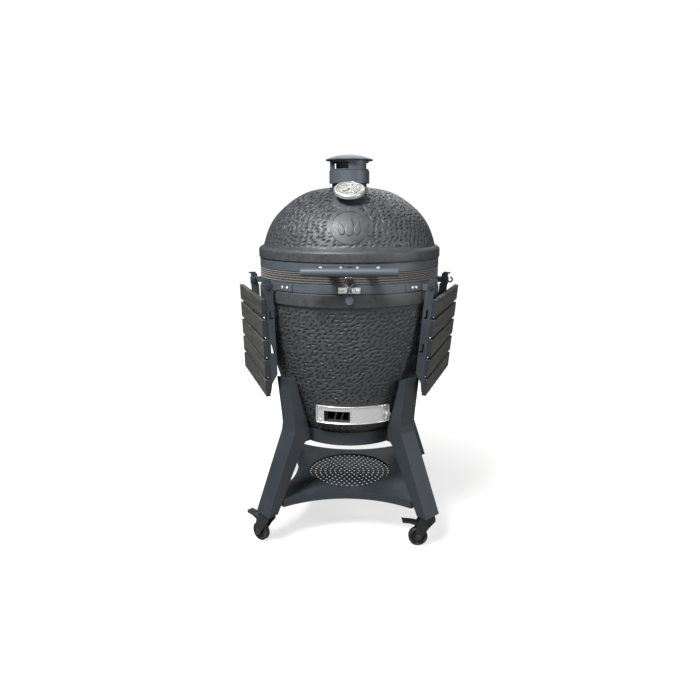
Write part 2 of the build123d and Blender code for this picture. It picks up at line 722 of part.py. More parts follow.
with BuildPart() as cart_bolts:
    for azimuth in CORNERS.values():
        for radius, near, far in ((7, -23, -20), (4, -20, 20), (7, 20, 23)):
            with BuildSketch(radial_plane(azimuth + CART_TURN).offset(near)):
                with Locations((198, 333)):
                    Circle(radius)
            extrude(amount=far - near)
save(cart_bolts, "cart_bolts")

# square with a flat end at each leg and a hollow arc along each side
with BuildSketch() as shelf_plan:
    with BuildLine():
        for corner in range(4):
            along = radians(CORNERS["rear_right"] + CART_TURN + corner * 90)
            ends = [
                (SHELF_CORNER_R * cos(along) - side * LEG_W / 2 * sin(along),
                 SHELF_CORNER_R * sin(along) + side * LEG_W / 2 * cos(along))
                for side in (-1, 1)
            ]
            Line(*ends)
            quarter_on = (-ends[0][1], ends[0][0])
            ThreePointArc(ends[1], polar(SHELF_WAIST_R, degrees(along) + 45), quarter_on)
    make_face()

with BuildPart() as cart_shelf:
    with BuildSketch(Plane.XY.offset(SHELF_Z - SHELF_H)):
        add(shelf_plan.sketch)
    extrude(amount=SHELF_H)
    with BuildSketch(Plane.XY.offset(SHELF_Z - SHELF_H)):
        add(shelf_plan.sketch)
        offset(amount=-SHEET, kind=Kind.INTERSECTION)
    extrude(amount=SHELF_H - SHEET, mode=Mode.SUBTRACT)
    # round pan pressed down into the plate
    pan_bottom = SHELF_Z - PAN_DEPTH - PAN_SHEET
    with BuildSketch(Plane.XY.offset(pan_bottom)):
        Circle(PAN_R)
    extrude(amount=PAN_DEPTH + PAN_SHEET)
    with BuildSketch(Plane.XY.offset(pan_bottom + PAN_SHEET)):
        Circle(PAN_R - SHEET)
    extrude(amount=PAN_DEPTH, mode=Mode.SUBTRACT)
    with BuildSketch(Plane.XY.offset(pan_bottom)):
        Circle(HOLE_R)
        for ring in range(1, HOLE_RINGS + 1):
            with PolarLocations(ring * HOLE_PITCH, ring * 6):
                Circle(HOLE_R)
    extrude(amount=PAN_SHEET, mode=Mode.SUBTRACT)
save(cart_shelf, "cart_shelf")

# ---------------------------------------------------------------- casters

CHEEK = [(-22, 95), (26, 95), (36, 74), (41, 34), (35, 21), (24, 22), (-2, 62), (-22, 84)]
CHEEK_IN = WHEEL_W / 2 + 1.5
BRAKE_PIVOT = (29, 74)


def caster_plane(corner):
    """Upright plane along the caster's trail: x runs from the stem towards the wheel, y up."""
    x, y = polar(CASTER_R, CORNERS[corner] + CART_TURN)
    a = radians(TRAILS[corner])
    return Plane(origin=(x, y, 0), x_dir=(cos(a), sin(a), 0), z_dir=(sin(a), -cos(a), 0))


for corner in CORNERS:
    side_on = caster_plane(corner)
    stem_x, stem_y = polar(CASTER_R, CORNERS[corner] + CART_TURN)

    with BuildPart() as fork:
        for start in (-CHEEK_IN - 3, CHEEK_IN):
            with BuildSketch(side_on.offset(start)):
                Polygon(*CHEEK, align=None)
            extrude(amount=3)
        with BuildSketch(side_on.offset(-CHEEK_IN - 3)):
            with Locations((2, 93)):
                Rectangle(48, 4)
        extrude(amount=2 * CHEEK_IN + 6)
        with BuildSketch(side_on.offset(-CHEEK_IN)):
            with Locations((CASTER_TRAIL, WHEEL_R)):
                Circle(4)
        extrude(amount=2 * CHEEK_IN)
        for radius, low, high in ((20, 95, 98), (STEM_R, 98, 118)):
            with BuildSketch(Plane.XY.offset(low)):
                with Locations((stem_x, stem_y)):
                    Circle(radius)
            extrude(amount=high - low)
    save(fork, f"caster_{corner}_fork")

    with BuildPart() as wheel:
        with BuildSketch(side_on.offset(-WHEEL_W / 2)):
            with Locations((CASTER_TRAIL, WHEEL_R)):
                Circle(WHEEL_R)
                Circle(4.05, mode=Mode.SUBTRACT)
        extrude(amount=WHEEL_W)
        rims = wheel.edges().filter_by(GeomType.CIRCLE).filter_by(lambda e: e.radius > WHEEL_R - 1)
        fillet(rims, 4)
    save(wheel, f"caster_{corner}_wheel")

    with BuildPart() as brake:
        with BuildSketch(side_on.offset(-CHEEK_IN + 0.4)):
            with Locations(BRAKE_PIVOT):
                Circle(4.5)
            Polygon((28, 70), (34, 69), (58, 78), (80, 80), (82, 88), (76, 86), (54, 84), (30, 79),
                    align=None)
        extrude(amount=2 * CHEEK_IN - 0.8)
    save(brake, f"caster_{corner}_brake")
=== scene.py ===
import json
from math import acos, cos, pi, radians, sin, sqrt, tan

import bmesh
import bpy
import numpy as np
from mathutils import Matrix, Vector


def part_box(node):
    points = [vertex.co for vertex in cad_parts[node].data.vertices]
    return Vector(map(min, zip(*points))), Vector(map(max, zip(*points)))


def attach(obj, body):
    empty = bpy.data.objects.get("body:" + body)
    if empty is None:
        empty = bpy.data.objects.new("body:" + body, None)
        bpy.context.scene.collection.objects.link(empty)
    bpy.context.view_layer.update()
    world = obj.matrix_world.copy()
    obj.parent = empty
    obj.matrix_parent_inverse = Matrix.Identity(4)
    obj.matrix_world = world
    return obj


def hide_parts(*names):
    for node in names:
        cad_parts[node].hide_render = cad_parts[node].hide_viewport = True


# Looks of the kamado grill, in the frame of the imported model: +Z up, front -Y.
# Lengths are in millimetres until make_piece scales them, unless a comment says metres.

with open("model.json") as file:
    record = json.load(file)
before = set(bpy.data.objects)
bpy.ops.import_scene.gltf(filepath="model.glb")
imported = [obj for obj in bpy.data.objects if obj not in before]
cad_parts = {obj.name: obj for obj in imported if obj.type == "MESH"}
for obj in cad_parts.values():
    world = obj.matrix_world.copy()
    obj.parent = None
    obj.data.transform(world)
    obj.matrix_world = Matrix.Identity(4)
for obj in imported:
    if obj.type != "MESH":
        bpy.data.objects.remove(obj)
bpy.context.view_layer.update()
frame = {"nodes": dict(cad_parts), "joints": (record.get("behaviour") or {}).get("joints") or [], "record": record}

JOINTS = {joint["name"]: joint for joint in frame["joints"]}
BODY_OF = {node: body for body, nodes in frame["record"]["behaviour"]["bodies"].items() for node in nodes}
SLOT_OF = {part["node"]: part["material_slot"] for part in frame["record"]["subparts"]}
CORNERS = ("front_left", "front_right", "rear_right", "rear_left")
MM = 0.001
FRONT = -90.0  # azimuth in degrees

# Ceramic outlines, (radius, height) in millimetres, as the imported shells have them
BASE_SKIN = [(160, 305), (196, 385), (229, 480), (252, 565), (272, 665), (283, 755)]
BASE_INSIDE = [(150, 334), (172, 385), (205, 480), (228, 565), (248, 665), (259, 755)]
DOME_SKIN = [(275, 921), (250, 987), (195, 1048), (130, 1086), (57, 1100)]
DOME_INSIDE = [(252, 921), (228, 979), (177, 1028), (120, 1062), (40, 1077)]
LIP_R = 290
GROOVE_R = 284
MOUTH_R = 262
NECK_R = 54.8
FELT_R = 287
FELT_PAD = 5.8
FELT_SEGMENTS = 240
NECK_TOP = 1128
FLUE_R = 40
COLLAR_LOW = 759
COLLAR_TOP = 796
BASE_RIM = 833.5
DOME_RIM = 845.5
DOME_LIP_LOW = 886.5
DOME_LIP_TOP = 913
DOME_SKIN_LENGTH = 312
VENT_SEAT_R = 214.2
VENT_SEAT = (-29.5, 36.0, 381.0, 443.0)  # azimuths right of the front, then heights
VENT_HOLE = (-21.5, 0.6, 389.0, 424.0)

# Glaze dimples, in millimetres
DIMPLE_PITCH = 18.5
DIMPLE_LENGTH = (14.0, 20.0)
DIMPLE_WIDTH = (6.0, 8.0)
DIMPLE_DEPTH = (2.2, 3.2)
SKIN_STEP = 2.2
COLUMN_STEP = 0.52  # degrees between the columns of a skin
WAVE_HEIGHT = 0.4
BASE_SEEDS = (11, 5)  # dimples, then waves
DOME_SEEDS = (23, 8)

EMBLEM_CENTRE = Vector((0, -240, 987))
EMBLEM_R = 56.0
EMBLEM_HEIGHT = 1.7
DIAL_FIELD = (0, -176, 1062)  # middle of the smooth skin under the thermometer

DIAL_MARKS = 46
MARK_STEP = 6  # degrees
FIRST_MARK = 135
HOT_FROM = 33  # the marks from here on are red
PRINT = (-0.3, 0.12)  # underside and face of a printed mark

ROD_PITCH = 20.0
CROSS_RODS = (-110, 110)

TABLE_NORMAL = -18.5  # azimuth that the right-hand table faces

FLOOR_GLOW = 0.7
FLOOR_FADE = (0.45, 1.1)  # metres from the centre
FLOOR_HALF = 30  # metres
FLOOR_Z = -0.0005  # metres
SURROUND = 0.1
LIGHTS = (  # name, then place, target and size in metres, then watts
    ("key", (-1.25, -1.9, 3.5), (0, 0, 0.8), (1.1, 1.1), 290),
    ("front", (0.1, -3.8, 1.2), (0, 0, 0.4), (1.2, 1.0), 16),
    ("right", (3.0, -1.5, 1.5), (0.3, 0, 0.7), (0.8, 1.6), 55),
    ("back", (0.6, 2.6, 2.8), (0, 0, 0.9), (2.4, 1.4), 34),
)
CAMERA_PLACE = (0.002, -2.051, 1.045)  # metres
CAMERA_DOWN = 13.03  # degrees below level
CAMERA_LENS = 32.17


# ---------------------------------------------------------------- node materials


def tint(code):
    """Linear colour from a six-digit screen colour."""
    parts = [int(code[i:i + 2], 16) / 255 for i in (0, 2, 4)]
    return tuple(((c + 0.055) / 1.055) ** 2.4 if c > 0.04 else c / 12.92 for c in parts) + (1.0,)


class Graph:
    """One node material, with a short call for each kind of node used."""

    def __init__(self, name, **constants):
        self.material = bpy.data.materials.new(name)
        self.material.use_nodes = True
        self.tree = self.material.node_tree
        self.shader = self.tree.nodes["Principled BSDF"]
        for socket, value in constants.items():
            self.shader.inputs[socket.replace("_", " ")].default_value = value
        self.coords = self.tree.nodes.new("ShaderNodeTexCoord").outputs["Object"]

    def put(self, socket, value):
        if isinstance(value, bpy.types.NodeSocket):
            self.tree.links.new(value, socket)
        else:
            socket.default_value = value

    def add(self, kind, inputs, **settings):
        node = self.tree.nodes.new("ShaderNode" + kind)
        for key, value in settings.items():
            setattr(node, key, value)
        for socket, value in inputs.items():
            self.put(node.inputs[socket], value)
        return node

    def stretched(self, stretch, turn=0.0):
        """Object coordinates turned about Z by some degrees, then scaled along each axis."""
        turned = self.add("Mapping", {"Vector": self.coords, "Rotation": (0, 0, radians(-turn))})
        return self.add("Mapping", {"Vector": turned.outputs[0], "Scale": stretch}).outputs[0]

    def noise(self, scale, detail=2.0, rough=0.5, vector=None, twist=0.0):
        inputs = {"Vector": vector or self.coords, "Scale": scale, "Detail": detail,
                  "Roughness": rough, "Distortion": twist}
        return self.add("TexNoise", inputs).outputs["Fac"]

    def cells(self, scale, vector=None, feature="F1"):
        inputs = {"Vector": vector or self.coords, "Scale": scale}
        return self.add("TexVoronoi", inputs, feature=feature).outputs["Distance"]

    def attribute(self, name):
        return self.add("Attribute", {}, attribute_name=name).outputs["Fac"]

    def height(self):
        return self.add("SeparateXYZ", {"Vector": self.coords}).outputs["Z"]

    def span(self, value, low, high, to_low=0.0, to_high=1.0):
        """Maps low..high onto to_low..to_high, clamped."""
        inputs = {"Value": value, "From Min": low, "From Max": high, "To Min": to_low, "To Max": to_high}
        return self.add("MapRange", inputs).outputs[0]

    def maths(self, operation, a, b=0.0):
        return self.add("Math", {0: a, 1: b}, operation=operation).outputs[0]

    def blend(self, factor, a, b, mode="MIX"):
        inputs = {0: factor, 6: a, 7: b}
        return self.add("Mix", inputs, data_type="RGBA", blend_type=mode).outputs[2]

    def bump(self, height, distance, under=None, strength=1.0):
        inputs = {"Height": height, "Distance": distance, "Strength": strength}
        if under:
            inputs["Normal"] = under
        return self.add("Bump", inputs).outputs[0]

    def finish(self, colour=None, roughness=None, normal=None):
        for socket, value in (("Base Color", colour), ("Roughness", roughness), ("Normal", normal)):
            if value is not None:
                self.put(self.shader.inputs[socket], value)
        return self.material


def shell_ceramic():
    """Matt charcoal glaze: mottled, sandy, duller in the dimples, with painted shade darkening the dimples."""
    g = Graph("shell_ceramic", Specular_IOR_Level=0.42)
    clouds = g.noise(6, 3)
    mottle = g.noise(70, 5, 0.6)
    sand = g.noise(1500, 3, 0.6)
    specks = g.span(g.cells(420), 0.05, 0.16, 1, 0)
    pit = g.attribute("pit")
    colour = g.blend(g.span(mottle, 0.3, 0.7), tint("343538"), tint("434446"))
    colour = g.blend(g.span(clouds, 0.35, 0.65, 0, 0.35), colour, tint("2f3135"))
    # painted shade: the colour is darkened by each dimple's depth
    colour = g.blend(g.maths("MULTIPLY", pit, 0.8), colour, tint("161719"))
    colour = g.blend(g.maths("MULTIPLY", specks, 0.16), colour, tint("77777a"))
    rough = g.span(g.maths("ADD", mottle, g.maths("MULTIPLY", pit, 0.25)), 0.3, 0.9, 0.36, 0.64)
    normal = g.bump(sand, 0.00022)
    normal = g.bump(g.noise(330, 4, 0.55), 0.00045, normal)
    return g.finish(colour, rough, normal)


def inner_ceramic():
    """Buff fired clay, blackened by soot in patches and towards the fire."""
    g = Graph("inner_ceramic", Specular_IOR_Level=0.3)
    clay = g.blend(g.noise(45, 5, 0.65), tint("a8977c"), tint("8a7a63"))
    soot = g.maths("ADD", g.noise(9, 5, 0.6), g.span(g.height(), 0.42, 0.8, 0.22, -0.06))
    colour = g.blend(g.span(soot, 0.42, 0.68, 0.15, 0.9), clay, tint("26221e"))
    normal = g.bump(g.noise(700, 4, 0.6), 0.0003)
    normal = g.bump(g.noise(60, 4, 0.5), 0.0012, normal)
    return g.finish(colour, g.span(clay, 0, 1, 0.8, 0.95), normal)


def felt():
    """Charcoal felt cords with fibres along the ring, and a painted highlight along their crests."""
    g = Graph("felt", Roughness=0.95, Sheen_Weight=0.2, Sheen_Roughness=0.6, Specular_IOR_Level=0.15)
    fibres = g.noise(900, 4, 0.7, g.stretched((0.35, 0.35, 1.0)))
    tufts = g.noise(160, 4, 0.6)
    crest_highlight = g.maths("ADD", g.attribute("crest_highlight"), g.maths("MULTIPLY", tufts, 0.25))
    colour = g.blend(g.span(fibres, 0.35, 0.65), tint("2b2a29"), tint("3a3836"))
    # painted highlight: the colour is lightened along the cord crests
    colour = g.blend(g.span(crest_highlight, 1.02, 1.16, 0, 0.7), colour, tint("86817a"))
    colour = g.blend(g.span(tufts, 0.55, 0.8, 0, 0.25), colour, tint("4d4a46"))
    return g.finish(colour, None, g.bump(fibres, 0.0007))


def powder_coat(name, dark, light, roughness=0.5):
    """Textured powder coat: orange peel, a fine sparkle and faint dust."""
    g = Graph(name, Specular_IOR_Level=0.5)
    peel = g.noise(620, 2, 0.5)
    grit = g.noise(2600, 2, 0.5)
    dust = g.noise(11, 5, 0.62)
    colour = g.blend(g.span(grit, 0.35, 0.65), tint(dark), tint(light))
    colour = g.blend(g.span(dust, 0.55, 0.85, 0, 0.1), colour, tint("6b7075"))
    rough = g.span(dust, 0.3, 0.7, roughness - 0.05, roughness + 0.1)
    normal = g.bump(peel, 0.00008)
    normal = g.bump(grit, 0.00003, normal)
    return g.finish(colour, rough, normal)


def cast_iron():
    """Raw grey iron with a sandy skin, ash and a little rust."""
    g = Graph("cast_iron", Metallic=0.35, Specular_IOR_Level=0.4)
    skin = g.noise(520, 5, 0.65)
    ash = g.noise(38, 5, 0.6)
    colour = g.blend(g.span(skin, 0.3, 0.7), tint("1e1d1c"), tint("35322f"))
    colour = g.blend(g.span(ash, 0.52, 0.72, 0, 0.5), colour, tint("6d655c"))
    colour = g.blend(g.span(g.noise(23, 5, 0.7), 0.6, 0.75, 0, 0.4), colour, tint("5a3320"))
    return g.finish(colour, g.span(ash, 0.3, 0.7, 0.62, 0.85), g.bump(skin, 0.0005))


def brushed_steel(name="stainless", colours=("d2d3d4", "ececea"), roughness=0.3):
    """Stainless steel brushed level, with smudges."""
    g = Graph(name, Metallic=0.8, Anisotropic=0.4)
    lines = g.noise(60, 3, 0.6, g.stretched((1, 1, 45)))
    smudge = g.noise(28, 4, 0.6)
    colour = g.blend(g.span(lines, 0.3, 0.7), tint(colours[0]), tint(colours[1]))
    colour = g.blend(g.span(smudge, 0.6, 0.85, 0, 0.2), colour, tint("9c9c9a"))
    rough = g.span(g.maths("ADD", g.maths("MULTIPLY", lines, 0.5), smudge), 0.5, 1.1,
                   roughness - 0.08, roughness + 0.15)
    return g.finish(colour, rough, g.bump(lines, 0.00003))


def chrome():
    """Bright plated wire with faint water spots."""
    g = Graph("chrome", Metallic=1.0)
    spots = g.noise(300, 3, 0.6)
    colour = g.blend(g.span(spots, 0.4, 0.7), tint("e2e3e4"), tint("c5c6c8"))
    return g.finish(colour, g.span(spots, 0.4, 0.75, 0.08, 0.24), g.bump(spots, 0.00003))


def satin_paint(name, dark, light, roughness):
    """Smooth satin paint with fine flow marks and handling scuffs."""
    g = Graph(name, Specular_IOR_Level=0.5)
    flow = g.noise(240, 3, 0.5)
    scuffs = g.noise(75, 6, 0.75, g.stretched((1, 1.6, 0.35)))
    colour = g.blend(g.span(flow, 0.35, 0.65), tint(dark), tint(light))
    colour = g.blend(g.span(scuffs, 0.6, 0.78, 0, 0.3), colour, tint("6c7075"))
    rough = g.span(scuffs, 0.35, 0.7, roughness - 0.08, roughness + 0.14)
    return g.finish(colour, rough, g.bump(flow, 0.00012))


def dial_white():
    """Printed white dial, very slightly warm and mottled."""
    g = Graph("dial_white", Specular_IOR_Level=0.4)
    paper = g.noise(240, 4, 0.6)
    colour = g.blend(g.span(paper, 0.3, 0.7), tint("e9e8e3"), tint("f4f3ef"))
    return g.finish(colour, g.span(paper, 0.3, 0.7, 0.42, 0.55), g.bump(paper, 0.00002))


def printed(name, dark, light):
    """Matt print or paint on a small part."""
    g = Graph(name, Specular_IOR_Level=0.3)
    speckle = g.noise(2200, 3, 0.6)
    colour = g.blend(g.span(speckle, 0.3, 0.7), tint(dark), tint(light))
    return g.finish(colour, g.span(speckle, 0.3, 0.7, 0.45, 0.6), g.bump(speckle, 0.00002))


def dial_glass():
    """Thin clear cover glass with a faint haze."""
    g = Graph("dial_glass", Transmission_Weight=1.0, IOR=1.45)
    g.shader.inputs["Base Color"].default_value = (0.97, 0.99, 0.98, 1)
    return g.finish(None, g.span(g.noise(90, 3), 0.4, 0.8, 0.01, 0.06), None)


def slat_composite(name, along):
    """Weathered grey-brown slat: long grain at the azimuth along, pores, and edges lightened partly as silvering
    wear and partly as painted highlight.
    """
    g = Graph(name, Specular_IOR_Level=0.28)
    grain_space = g.stretched((0.045, 1.0, 1.0), along)
    bands = g.noise(85, 5, 0.62, grain_space, 0.6)
    fibres = g.noise(640, 4, 0.7, grain_space)
    pores = g.span(g.cells(520, g.stretched((0.06, 1.0, 1.0), along)), 0.08, 0.3, 1, 0)
    patches = g.noise(9, 3)
    edges = g.add("Bevel", {"Radius": 0.0022}, samples=6).outputs[0]
    facing = g.add("NewGeometry", {}).outputs["Normal"]
    worn_and_highlit_edges = g.add("VectorMath", {0: edges, 1: facing}, operation="DOT_PRODUCT").outputs["Value"]
    facing_end = g.add("SeparateXYZ", {"Vector": g.add("Mapping", {
        "Vector": g.add("TexCoord", {}).outputs["Normal"],
        "Rotation": (0, 0, radians(-along)),
    }).outputs[0]}).outputs["X"]
    end = g.span(g.maths("ABSOLUTE", facing_end), 0.85, 0.95)
    colour = g.blend(g.span(bands, 0.35, 0.65), tint("272828"), tint("4c4c4a"))
    colour = g.blend(g.span(fibres, 0.48, 0.72, 0, 0.6), colour, tint("6e6c68"))
    colour = g.blend(g.span(patches, 0.4, 0.7, 0, 0.35), colour, tint("2f3235"))
    colour = g.blend(g.maths("MULTIPLY", pores, 0.55), colour, tint("171716"))
    # edges painted lighter: partly silvering wear, partly painted highlight
    colour = g.blend(g.span(worn_and_highlit_edges, 0.995, 0.8, 0, 0.5), colour, tint("7d7b75"))
    colour = g.blend(end, colour, tint("23282d"))
    normal = g.bump(fibres, 0.0004)
    normal = g.bump(bands, 0.0007, normal)
    return g.finish(colour, g.span(bands, 0.3, 0.7, 0.62, 0.8), normal)


def moulded_black():
    """Glass-filled black nylon with a spark-eroded grain."""
    g = Graph("caster_black", Specular_IOR_Level=0.5)
    grain = g.noise(1300, 2, 0.5)
    dust = g.noise(48, 5, 0.65)
    colour = g.blend(g.span(grain, 0.35, 0.65), tint("0e0f10"), tint("1a1b1d"))
    colour = g.blend(g.span(dust, 0.6, 0.85, 0, 0.15), colour, tint("4c4a47"))
    return g.finish(colour, g.span(dust, 0.3, 0.7, 0.34, 0.5), g.bump(grain, 0.00012))


def tyre_rubber():
    """Hard rubber tread, dusty where it rolls."""
    g = Graph("caster_tyre", Specular_IOR_Level=0.35)
    grain = g.noise(900, 4, 0.6)
    dust = g.noise(60, 5, 0.65)
    colour = g.blend(g.span(grain, 0.3, 0.7), tint("161617"), tint("232324"))
    colour = g.blend(g.span(dust, 0.48, 0.75, 0, 0.45), colour, tint("6f6b64"))
    return g.finish(colour, g.span(dust, 0.3, 0.7, 0.6, 0.85), g.bump(grain, 0.0003))


MATERIALS = {
    "shell_ceramic": shell_ceramic(),
    "inner_ceramic": inner_ceramic(),
    "felt": felt(),
    "band_coat": powder_coat("band_coat", "3a4148", "464d55", 0.48),
    "rail_coat": powder_coat("rail_coat", "262b31", "31373e", 0.46),
    "cast_iron": cast_iron(),
    "stainless": brushed_steel(),
    "chrome": chrome(),
    "latch_coat": satin_paint("latch_coat", "49515b", "58606b", 0.4),
    "black_steel": satin_paint("black_steel", "191b1e", "24272b", 0.42),
    "dial_white": dial_white(),
    "needle_black": printed("needle_black", "0f0f10", "1b1b1c"),
    "dial_glass": dial_glass(),
    "slat_composite": slat_composite("slat_composite", TABLE_NORMAL + 90),
    "cart_coat": powder_coat("cart_coat", "20262c", "2a3138", 0.5),
    "caster_black": moulded_black(),
    "caster_tyre": tyre_rubber(),
}
OWN_FINISH = {
    "left_table_slats": slat_composite("slat_composite_left", 90 - TABLE_NORMAL),
    "ash_screen": brushed_steel("scorched_steel", ("4a4744", "6b6762"), 0.45),
}
HUB_GREY = printed("hub_grey", "24272a", "34373a")
SCALE_RED = printed("scale_red", "8e1f18", "a82a20")


# ---------------------------------------------------------------- mesh helpers


def make_piece(name, points, faces, body, slot, replaced=(), material=None, crease=38):
    """A closed mesh from points in millimetres, riding on a body in a material slot."""
    mesh = bpy.data.meshes.new(name)
    mesh.from_pydata((np.asarray(points, float).reshape(-1, 3) * MM).tolist(), [], faces)
    tidy = bmesh.new()
    tidy.from_mesh(mesh)
    bmesh.ops.recalc_face_normals(tidy, faces=tidy.faces)
    tidy.to_mesh(mesh)
    tidy.free()
    mesh.shade_smooth()
    mesh.set_sharp_from_angle(angle=radians(crease))
    mesh.materials.append(material or MATERIALS[slot])
    piece = bpy.data.objects.new(name, mesh)
    bpy.context.scene.collection.objects.link(piece)
    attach(piece, body)
    if replaced:
        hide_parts(*replaced)
    return piece


class Shape:
    """Collects points and faces of one piece, in millimetres."""

    def __init__(self):
        self.points = []
        self.faces = []

    def loft(self, rings, closed=False, caps=True):
        """Joins rings with the same number of points; a closed loft joins the last to the first."""
        start = len(self.points)
        count = len(rings[0])
        for ring in rings:
            self.points.extend(tuple(point) for point in ring)
        steps = len(rings) if closed else len(rings) - 1
        for row in range(steps):
            a = start + row * count
            b = start + (row + 1) % len(rings) * count
            for i in range(count):
                j = (i + 1) % count
                self.faces.append((a + i, a + j, b + j, b + i))
        if caps and not closed:
            self.faces.append(tuple(range(start, start + count)))
            self.faces.append(tuple(range(start + (len(rings) - 1) * count, start + len(rings) * count)))

    def lathe(self, outline, place, segments=48, closed=False):
        """Turns (radius, height) points about the local Z of place."""
        rings = []
        for radius, z in outline:
            angles = [2 * pi * k / segments for k in range(segments)]
            rings.append([place @ Vector((radius * cos(a), radius * sin(a), z)) for a in angles])
        self.loft(rings, closed)

    def tube(self, path, radius, segments=12, closed=False):
        """A round rod along points."""
        path = [Vector(point) for point in path]
        rings = []
        side = None
        for k, point in enumerate(path):
            ahead = path[(k + 1) % len(path)] if closed or k + 1 < len(path) else point
            behind = path[k - 1] if closed or k else point
            along = (ahead - behind).normalized()
            if side is None:
                side = along.orthogonal().normalized()
            side = (side - along * side.dot(along)).normalized()
            other = along.cross(side)
            angles = [2 * pi * i / segments for i in range(segments)]
            rings.append([point + radius * (cos(a) * side + sin(a) * other) for a in angles])
        self.loft(rings, closed)

    def piece(self, name, body, slot, replaced=(), material=None, crease=38):
        return make_piece(name, self.points, self.faces, body, slot, replaced, material, crease)


def placed(origin, axis, ahead=None):
    """Matrix with its Z along axis at origin in millimetres, and X near ahead if that is given."""
    z = Vector(axis).normalized()
    x = Vector(ahead) if ahead else z.orthogonal()
    x = (x - z * x.dot(z)).normalized()
    turn = Matrix((x, z.cross(x), z)).transposed().to_4x4()
    return Matrix.Translation(Vector(origin)) @ turn


def rounded(outline, default, steps=3, closed=True):
    """Rounds the corners of an outline of (r, z) or (r, z, radius) points with arcs."""
    result = []
    count = len(outline)
    for k, corner in enumerate(outline):
        here = np.array(corner[:2], float)
        radius = corner[2] if len(corner) > 2 else default
        if not closed and k in (0, count - 1) or radius == 0:
            result.append(tuple(here))
            continue
        before = np.array(outline[k - 1][:2], float) - here
        after = np.array(outline[(k + 1) % count][:2], float) - here
        a = before / np.linalg.norm(before)
        b = after / np.linalg.norm(after)
        half = acos(max(-1.0, min(1.0, float(a @ b)))) / 2
        reach = min(radius / tan(half), 0.45 * np.linalg.norm(before), 0.45 * np.linalg.norm(after))
        for step in range(steps + 1):
            t = step / steps
            start = here + a * reach
            end = here + b * reach
            result.append(tuple((1 - t) ** 2 * start + 2 * t * (1 - t) * here + t * t * end))
    return result


def smooth_curve(points, count):
    """A natural cubic curve through points, sampled at even lengths."""
    points = np.array(points, float)
    knots = np.concatenate([[0], np.cumsum(np.linalg.norm(np.diff(points, axis=0), axis=1))])
    n = len(points)
    gaps = np.diff(knots)
    system = np.eye(n)
    right = np.zeros((n, points.shape[1]))
    for i in range(1, n - 1):
        system[i, i - 1:i + 2] = gaps[i - 1], 2 * (gaps[i - 1] + gaps[i]), gaps[i]
        right[i] = 6 * ((points[i + 1] - points[i]) / gaps[i] - (points[i] - points[i - 1]) / gaps[i - 1])
    bend = np.linalg.solve(system, right)
    at = np.linspace(0, knots[-1], count)
    k = np.clip(np.searchsorted(knots, at, side="right") - 1, 0, n - 2)
    h = gaps[k][:, None]
    u = (at - knots[k])[:, None]
    v = h - u
    return ((bend[k] * v**3 + bend[k + 1] * u**3) / (6 * h)
            + (points[k] / h - bend[k] * h / 6) * v + (points[k + 1] / h - bend[k + 1] * h / 6) * u)


def stations(low, high, step, *keys):
    """Positions about step apart from low to high that include each key."""
    marks = sorted({low, high, *keys})
    result = [low]
    for a, b in zip(marks, marks[1:]):
        result.extend(np.linspace(a, b, max(1, round((b - a) / step)) + 1)[1:])
    return np.array(result)


def ease(value, low, high):
    """Smooth step from 0 at low to 1 at high."""
    t = np.clip((value - low) / (high - low), 0, 1)
    return t * t * (3 - 2 * t)


def window(values, rise, fall):
    """1 between two smooth steps, up over the pair rise and down over the pair fall."""
    return ease(values, *rise) * (1 - ease(values, *fall))


# ---------------------------------------------------------------- glazed shells


def dimple_field(angles, radii, lengths, seed):
    """Depth at each (row, column) of short lens-shaped dimples scattered over a turned skin."""
    rng = np.random.default_rng(seed)
    depth = np.zeros((len(radii), len(angles)))
    for row, s in enumerate(np.arange(lengths[0], lengths[-1], DIMPLE_PITCH * 0.66)):
        radius = np.interp(s, lengths, radii)
        across = max(3, round(2 * pi * radius / DIMPLE_PITCH))
        for k in range(across):
            centre = 2 * pi * (k + 0.5 * (row % 2) + rng.uniform(-0.24, 0.24)) / across
            level = s + rng.uniform(-0.2, 0.2) * DIMPLE_PITCH
            half_length = rng.uniform(*DIMPLE_LENGTH) / 2
            half_width = rng.uniform(*DIMPLE_WIDTH) / 2
            deep = rng.uniform(*DIMPLE_DEPTH)
            lean = radians(rng.normal(40, 26))
            rows = np.nonzero(abs(lengths - level) < 1.3 * half_length)[0]
            if len(rows) == 0:
                continue
            turn = (angles - centre + pi) % (2 * pi) - pi
            columns = np.nonzero(abs(turn) * radius < 1.5 * half_length)[0]
            x = turn[columns][None, :] * radii[rows][:, None]
            y = (lengths[rows] - level)[:, None]
            along = (x * cos(lean) + y * sin(lean)) / half_length
            aside = (-x * sin(lean) + y * cos(lean)) / half_width
            inside = np.clip(1 - along**2 - aside**2, 0, 1)
            area = np.ix_(rows, columns)
            depth[area] = np.maximum(depth[area], deep * inside**0.6)
    return depth


def surface_waves(angles, lengths, seed):
    """Slow hand-made unevenness over a skin, within about 1."""
    rng = np.random.default_rng(seed)
    waves = np.zeros((len(lengths), len(angles)))
    for _ in range(14):
        turns = rng.integers(2, 22)
        rise = rng.uniform(-1, 1) / 16
        waves += np.sin(turns * angles[None, :] + rise * lengths[:, None] + rng.uniform(0, 2 * pi))
    return waves / 5


